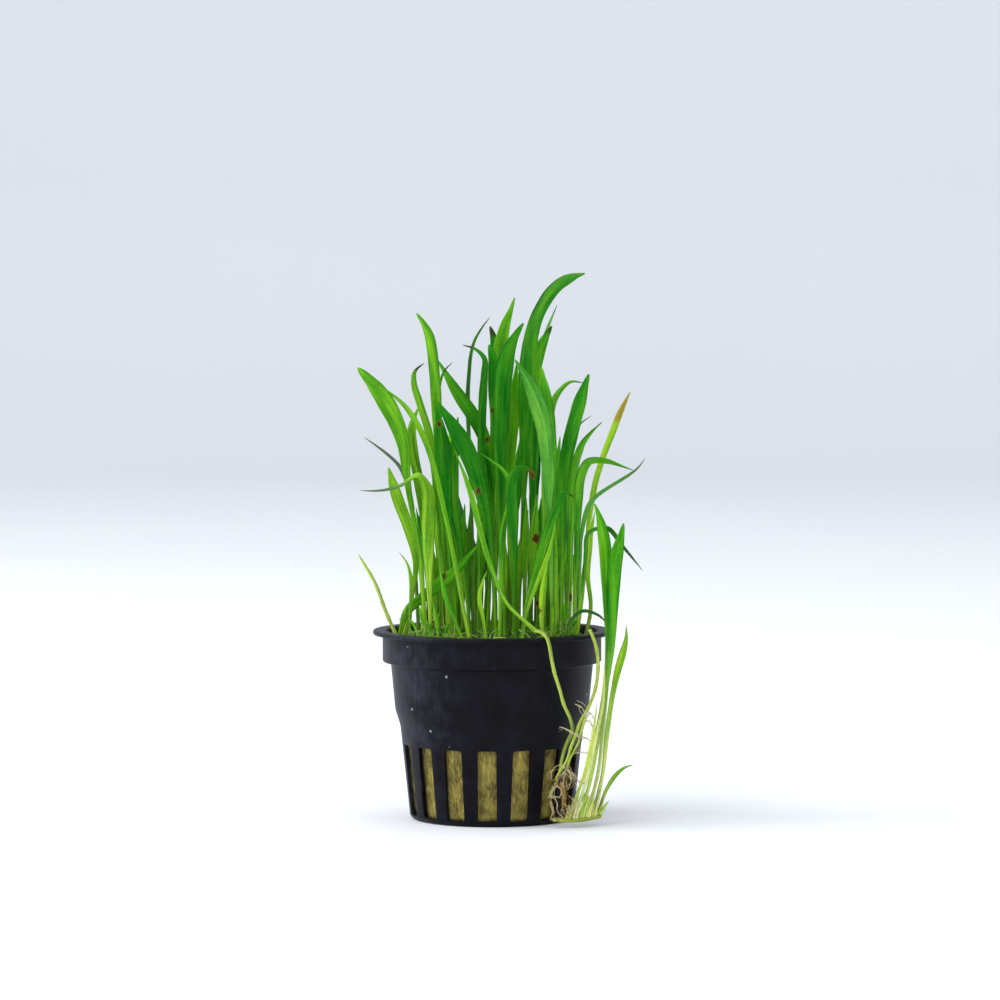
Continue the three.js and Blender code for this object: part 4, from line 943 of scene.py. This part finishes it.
# The runners
# Pale creeping stems that grew over the rim and down outside the pot, with a swollen joint every so often.
# One short piece of them is dead and dried to straw, and leaf_11 is a bare jointed one that stands up.
# Each as its tone, its slot and the spacing of its joints in millimetres
RUNNERS = {"runner_front": ("pale", "runner_pale", 9.5), "runner_side": ("pale", "runner_pale", 5.0),
           "runner_dead": ("straw", "root_tan", 9.5), "leaf_11": ("pale", "leaf_young", 3.6)}
RUNNER_STALK = (166, 188, 82)
RUNNER_LEAST = 0.3
RUNNER_TIP = 0.12
RUNNER_STEP = 0.5
JOINT_HALF = 0.55
JOINT_SWELL = 0.2


def runner_surface(rings, tip, seed, spacing):
    """A round runner with swollen joints."""
    middles, radii, before = [], [], None
    for corners in rings:
        middle, before, half = half_axes(corners, before)
        middles.append(middle)
        radii.append(max(RUNNER_LEAST, (before.length + half) / 2))
    middles, radii = np.array([*middles, tip]), np.array([*radii, RUNNER_TIP])
    places = run(middles)
    at = np.linspace(0, places[-1], math.ceil(places[-1] / RUNNER_STEP))
    joint = np.exp(-(((at + seed * spacing) % spacing - spacing / 2) / JOINT_HALF) ** 2)
    fine_radii = np.maximum(between(places, radii, at), 0.1) * (1 + JOINT_SWELL * joint)
    return round_stem(between(places, middles, at), fine_radii, STEM_SIDES, seed)


for index, (name, (kind, slot, spacing)) in enumerate(RUNNERS.items()):
    rings, tip = only_strap(name)
    seed = 0.2 + 0.3 * index
    finish = leaf_finish(name + " tissue", kind, stalk=RUNNER_STALK if kind == "pale" else None)
    runner = runner_surface(rings, tip, seed, spacing)
    dress(leafy_piece(name + "_fine", [(*runner, seed, finish)]), slot, name)

# The daughter plant
# The young plant at the runners' ends, which rooted outside the pot. Its creeping stem lies just over the
# floor, two broad leaves rise past the rim beside pale stalks, and two sheaths clasp the foot of each stalk.
# Each leaf from the tallest down: its tone, at what share of its length it has turned green, and its stalk
DAUGHTER_LEAVES = [
    ("fresh", 0.72, (200, 212, 126)), ("meadow", 0.72, (168, 200, 92)), ("young", 0.8, (196, 208, 118)),
    ("pale", 0.9, (216, 224, 160)), ("pale", 0.9, (186, 206, 96)), ("lime", 0.9, (172, 198, 84)),
]
DAUGHTER_STALK_SHARE = 0.62
DAUGHTER_STEM = (158, 172, 66)
DAUGHTER_STEM_RADIUS = 0.5
SHEATH_RADIUS = 0.5
SHEATH_SIDES = 6
SHEATH_HEIGHTS = [5.2, 7.0, 4.2, 6.4, 3.6, 4.8]
SHEATH_STEPS = np.linspace(0, 1, 8)

form = joined_form("outside_plantlet")
straps, used = strap_rings(form)
straps.sort(key=lambda strap: -strap[1].z)
sheath_radii = SHEATH_RADIUS * np.sqrt(1.02 - SHEATH_STEPS)
parts = []
for k, (rings, tip) in enumerate(straps):
    kind, green_from, stalk_tone = DAUGHTER_LEAVES[k]
    finish = leaf_finish(f"daughter leaf tissue {k}", kind, blade_from=green_from, stalk=stalk_tone)
    seed = 0.1 + 0.15 * k
    parts.append((*fine_strap(rings[1:], tip, seed, stalk_share=DAUGHTER_STALK_SHARE), seed, finish))
    foot, higher = (sum(rings[level], Vector()) / 4 for level in (0, 3))
    up = (higher - foot).normalized()
    for side in (-1, 1):
        height = SHEATH_HEIGHTS[k - (side > 0)]
        line = [foot + up * height * t + Vector((side * (0.3 + 0.5 * t * t), -0.35, -0.3))
                for t in SHEATH_STEPS]
        parts.append((*round_stem(line, sheath_radii, SHEATH_SIDES, seed), seed, finish))
stem_finish = leaf_finish("daughter stem tissue", "pale", stalk=DAUGHTER_STEM)
parts.append(creeping_stem(form, used, 0.4, stem_finish, DAUGHTER_STEM_RADIUS))
dress(leafy_piece("daughter_plant", parts), "leaf_light", "outside_plantlet")
form.free()

# The roots
# Thin tan roots that branch from one green strand below the runners and hang in a loose bundle, with finer
# twins beside them, a tangle over the floor and short hairs.
# Lines of points in millimetres
STRAND = [(21.6, -18.3, 25.6), (20.5, -18.6, 23), (19.9, -18.9, 20), (18.2, -19.4, 16.8), (16.3, -19.8, 12.6)]
ROOTS = [
    [(21.5, -18.4, 25.4), (20, -19.2, 27.6), (18.8, -19.4, 28.2)],
    [(21.3, -18.5, 24.8), (22.4, -19.4, 26.2), (23.2, -19.6, 25)],
    [(20.9, -18.6, 24), (22, -19.6, 24.6), (23, -19.9, 22.8)],
    [(19.9, -18.9, 20.6), (18, -19.6, 22), (15.9, -19.9, 23.1)],
    [(19.9, -18.9, 20.4), (21, -19.9, 20.9), (22.3, -20.1, 20.1)],
    [(18.5, -19.3, 17), (20.5, -20.3, 17.4), (22.4, -20.4, 17.2)],
    [(17, -19.6, 14), (18.3, -20.7, 11.8), (19.4, -21.4, 9.6)],
    [(16.4, -19.8, 12.8), (17.9, -20.4, 11.4), (17.4, -20.7, 8.8)],
    [(16.5, -19.8, 13), (14.2, -20.4, 9.4), (13.4, -20.8, 5.2), (15.3, -21.1, 1.4)],
    [(16.4, -19.8, 12.7), (16.3, -20.6, 7.6), (17.4, -20.8, 3.9), (19.9, -21, 2.8)],
]
TANGLE = [
    [(16.9, -20.2, 13.8), (15, -20.9, 14.4), (13.4, -21.2, 12.6), (13.9, -21, 11.2), (15, -20.8, 12)],
    [(17, -20, 13.4), (18, -20.9, 12.2), (17.6, -21.2, 10.2), (16.6, -21, 9.4)],
    [(16.8, -20.2, 13.9), (18.4, -21, 12.4), (19.8, -21.3, 10.9), (21, -21.3, 10.4)],
    [(15.6, -20.2, 12.6), (15.1, -20.9, 11.2), (14, -21.3, 9.4), (13, -21.3, 8.4)],
    [(13.3, -20.9, 7.6), (14.6, -21.4, 6.3), (14.7, -21.5, 4.4), (15.8, -21.3, 2.9), (15.1, -21, 1.9)],
    [(16.1, -20.9, 7), (16.7, -21.5, 5.5), (18.2, -21.7, 4.9), (19.6, -21.5, 5.5)],
    [(15.8, -21, 4.6), (16.6, -21.5, 3.2), (17.9, -21.3, 3.4), (17.3, -21.1, 4.6), (16.2, -21.3, 4.2)],
    [(13.4, -21, 6.1), (13.8, -21.4, 4.2), (13.2, -21.5, 2.6), (14.2, -21.2, 1.7), (15.7, -21.1, 2.2)],
    [(14.2, -20.9, 9.9), (15.6, -21.3, 9), (15.2, -21.6, 7.4), (14, -21.4, 7.2)],
    [(17.3, -20.8, 7.6), (18.6, -21.4, 6.9), (18.9, -21.6, 5.1), (17.8, -21.4, 3.9), (16.9, -21.2, 2.2)],
]
STRAND_RADIUS = 0.36
ROOT_RADIUS = 0.17
ROOTLET_RADIUS = 0.07
TANGLE_RADIUS = 0.15
SWAY_SEED = 4
ROOT_STEP = 0.4
HAIR_LENGTH = 1.6
HAIR_RADIUS = 0.022
HAIRS_FROM = 2.5
ROOT_PALE = (206, 198, 150)
ROOT_BROWN = (122, 88, 52)

# Roots brown in patches, most of all low in the bundle.
root_finish, tree, shader = new_material("root skin")
here = millimetres(tree)
patches = mottle(tree, here, 0.5, 5.0)
skin = mottle(tree, here, 4.0, 3.0)
low = spread(tree, parts_of(tree, here)[2], 10.0, 20.0, 0.3, -0.15)
browned = maths(tree, "MULTIPLY_ADD", skin, 0.3, spread(tree, patches, 0.42, 0.66, 0.0, 0.75))
root_colour = blend_colours(tree, total(tree, browned, low), ROOT_PALE, ROOT_BROWN)
coat(tree, shader, root_colour, swing(tree, skin, 0.55, 0.75))
bump(tree, shader, skin, 0.12)


def root_surface(line, radius, thin_to, sides, seed, sway=0.22):
    """A root along a line of points, thinned towards its end and a little crooked."""
    points = np.array(line, float)
    places = run(points)
    at = np.linspace(0, places[-1], max(6, math.ceil(places[-1] / ROOT_STEP)))
    middles = between(places, points, at)
    for i, s in enumerate(at):
        off = noise.noise_vector((seed * 31, s * 0.45, 2.0))
        middles[i] += np.array(off) * sway * min(1, s)
    radii = radius * (1 + (thin_to - 1) * at / places[-1])
    return round_stem(middles, radii, sides, seed)


noise.seed_set(SWAY_SEED)
strand_finish = leaf_finish("root strand tissue", "pale", stalk=RUNNER_STALK)
parts = [(*root_surface(STRAND, STRAND_RADIUS, 0.6, 8, 0.1), 0.1, strand_finish)]
for k, line in enumerate(ROOTS):
    parts.append((*root_surface(line, ROOT_RADIUS, 0.5, 6, 0.13 * k), 0.13 * k, root_finish))
    for twin in (1, 2):
        seed = 0.13 * k + 0.41 * twin
        parts.append((*root_surface(line, ROOTLET_RADIUS, 0.6, 5, seed, sway=1.5), seed, root_finish))
for k, line in enumerate(TANGLE):
    seed = 0.17 * k
    parts.append((*root_surface(line, TANGLE_RADIUS, 0.6, 5, seed, sway=0.5), seed, root_finish))
    parts.append((*root_surface(line, ROOTLET_RADIUS, 0.6, 5, seed + 0.5, sway=1.2), seed, root_finish))
roots = leafy_piece("root_bundle", parts)
dress(roots, "root_tan", "roots")

hairs = strew("root_hairs", roots, lambda corner: 1.0 if corner.z > HAIRS_FROM else 0.0,
              threads("hair_shape", [bent(HAIR_LENGTH, 0.6)], HAIR_RADIUS), root_finish, density=6.0e5,
              smallest=0.4, largest=1.3, tilt=0.7, seed=11)
dress(hairs, "root_tan")

# The moss and loose tufts
# A low film of moss and seedlings has grown over the wool and round the feet of the sprouts, with a few
# tufts of white fibre pulled out of the plug.
MOSS_DARK = (18, 40, 10)
MOSS_GREEN = (66, 112, 26)
SEEDLING_GREEN = (74, 138, 28)
SEEDLING_PALE = (156, 188, 76)
TUFT_WHITE = (228, 228, 210)
TUFT_SHADE = (190, 186, 140)
MOSS_TOP = 50
MOSS_REACH = 20.8
MOSS_BELOW_TOP = 1.4
TUFTS_OUTSIDE = 14
TUFTS_ABOVE = 0.28
SEEDLINGS_BELOW_TOP = 0.8
SEEDLINGS_IN_FRONT = -9


def mottled_finish(name, scale, detail, one, other, until, dullness):
    """A finish that drifts between two tones."""
    material, tree, shader = new_material(name)
    shades = mottle(tree, millimetres(tree), scale, detail)
    colour = blend_colours(tree, spread(tree, shades, 0.35, until), one, other)
    coat(tree, shader, colour, swing(tree, shades, dullness, dullness + 0.15))
    return material


moss_finish = mottled_finish("moss", 0.9, 4.0, MOSS_DARK, MOSS_GREEN, 0.65, 0.5)
seedling_finish = mottled_finish("seedling", 0.45, 3.0, SEEDLING_GREEN, SEEDLING_PALE, 0.65, 0.45)
tuft_finish = mottled_finish("white tufts", 0.8, 4.0, TUFT_WHITE, TUFT_SHADE, 0.7, 0.8)


def mossy(corner):
    """Moss grows in drifts over the wool's top, thickest at the front left."""
    if corner.z < WOOL_TOP - MOSS_BELOW_TOP or math.hypot(corner.x, corner.y) > MOSS_REACH:
        return 0.0
    drift = max(0, noise.noise(Vector(corner) * 0.22)) * 2
    return 0.2 + drift + (0.3 if corner.x < -8 and corner.y < -6 else 0)


def tufted(corner):
    """Loose tufts stand in a few small patches by the rim."""
    by_the_rim = TUFTS_OUTSIDE < math.hypot(corner.x, corner.y) < MOSS_REACH
    if corner.z < WOOL_TOP - MOSS_BELOW_TOP or not by_the_rim:
        return 0.0
    return 1.0 if noise.noise(Vector(corner) * 0.35 + Vector((3, 8, 1))) > TUFTS_ABOVE else 0.0


def on_feet(corner):
    """Moss climbs the lowest part of the sprouts and thins out with height."""
    return max(0.0, (MOSS_TOP - corner.z) / (MOSS_TOP - WOOL_TOP)) if corner.z > WOOL_TOP else 0.0


def crowded(corner):
    """Seedlings stand along the front of the wool, and crowd at its left and right."""
    on_top = corner.z >= WOOL_TOP - SEEDLINGS_BELOW_TOP and math.hypot(corner.x, corner.y) <= MOSS_REACH
    if not on_top or corner.y > SEEDLINGS_IN_FRONT:
        return 0.0
    return 1.0 if corner.x < -6 or corner.x > 12 else 0.25


def seedling(name, height, blades=3):
    """Tiny blades that part from one foot."""
    lines = [bent(height * (1 - 0.12 * k), 0.95, 2.1 * k) for k in range(blades)]
    return threads(name, lines, height * 0.05)


moss = strew("moss", wool, mossy, seedling("moss_shape", 2.2), moss_finish, density=8.0e5, smallest=0.6,
             largest=1.3, tilt=0.5, seed=5)
dress(moss, "leaf_mid")
seedlings = strew("seedlings", wool, crowded, seedling("seedling_shape", 5.0), seedling_finish,
                  density=1.4e5, smallest=0.5, largest=1.15, tilt=0.45, seed=21)
dress(seedlings, "leaf_light")
for side in ("left", "right"):
    feet = bpy.data.objects[f"sprouts_{side}_fine"]
    film = strew(f"moss_on_sprouts_{side}", feet, on_feet, seedling("film_shape", 2.8, 2), seedling_finish,
                 density=9.0e5, smallest=0.4, largest=1.2, tilt=0.5, seed=15)
    dress(film, "leaf_light")
tufts = strew("white_tufts", wool, tufted, threads("tuft_shape", [bent(2.2, 0.7)], 0.06), tuft_finish,
              density=9.0e5, smallest=0.5, largest=1.1, tilt=1.1, seed=9)
dress(tufts, "mineral_wool")

# The studio
# A pale seamless sweep all round the plant and four soft lamps: a key at the front left, a larger one at the
# left side, a fill at the right and one overhead.
SWEEP_TONE = (224, 227, 231)
SWEEP_SHADE = (221, 224, 229)
SWEEP = [(0, 0), (1700, 0), (1950, 40), (2150, 190), (2250, 440), (2280, 1400)]
SWEEP_SIDES = 96
# Each lamp's place, its width and its power
LAMPS = {"key": ((-0.8, -1.0, 0.9), 0.7, 8), "side": ((-1.15, -0.05, 0.72), 0.9, 13.5),
         "fill": ((1.0, -0.7, 0.5), 0.8, 2.5), "overhead": ((0.1, 0.3, 1.3), 0.9, 3)}
LAMPS_AIM = Vector((0, 0, 0.06))
ROOM_TONE = (0.97, 0.98, 1.0, 1)
ROOM_LIGHT = 0.95

sweep_finish, tree, shader = new_material("pale sweep")
faint = mottle(tree, millimetres(tree), 0.004, 2.0)
tree.links.new(blend_colours(tree, faint, SWEEP_TONE, SWEEP_SHADE), shader.inputs["Base Color"])
shader.inputs["Roughness"].default_value = 0.9
shader.inputs["Specular IOR Level"].default_value = 0.1
corners, faces = spun(SWEEP, SWEEP_SIDES)
sweep = piece_of("sweep", corners, [face[::-1] for face in faces], sweep_finish)

for name, (place, width, power) in LAMPS.items():
    light = bpy.data.lights.new(name, "AREA")
    light.size = width
    light.energy = power
    fitting = bpy.data.objects.new(name, light)
    fitting.location = place
    fitting.rotation_euler = (LAMPS_AIM - Vector(place)).to_track_quat("-Z", "Y").to_euler()
    scene.collection.objects.link(fitting)
world = bpy.data.worlds.new("pale room")
scene.world = world
world.use_nodes = True
background = world.node_tree.nodes["Background"]
background.inputs["Color"].default_value = ROOM_TONE
background.inputs["Strength"].default_value = ROOM_LIGHT
scene.view_settings.view_transform = "Standard"
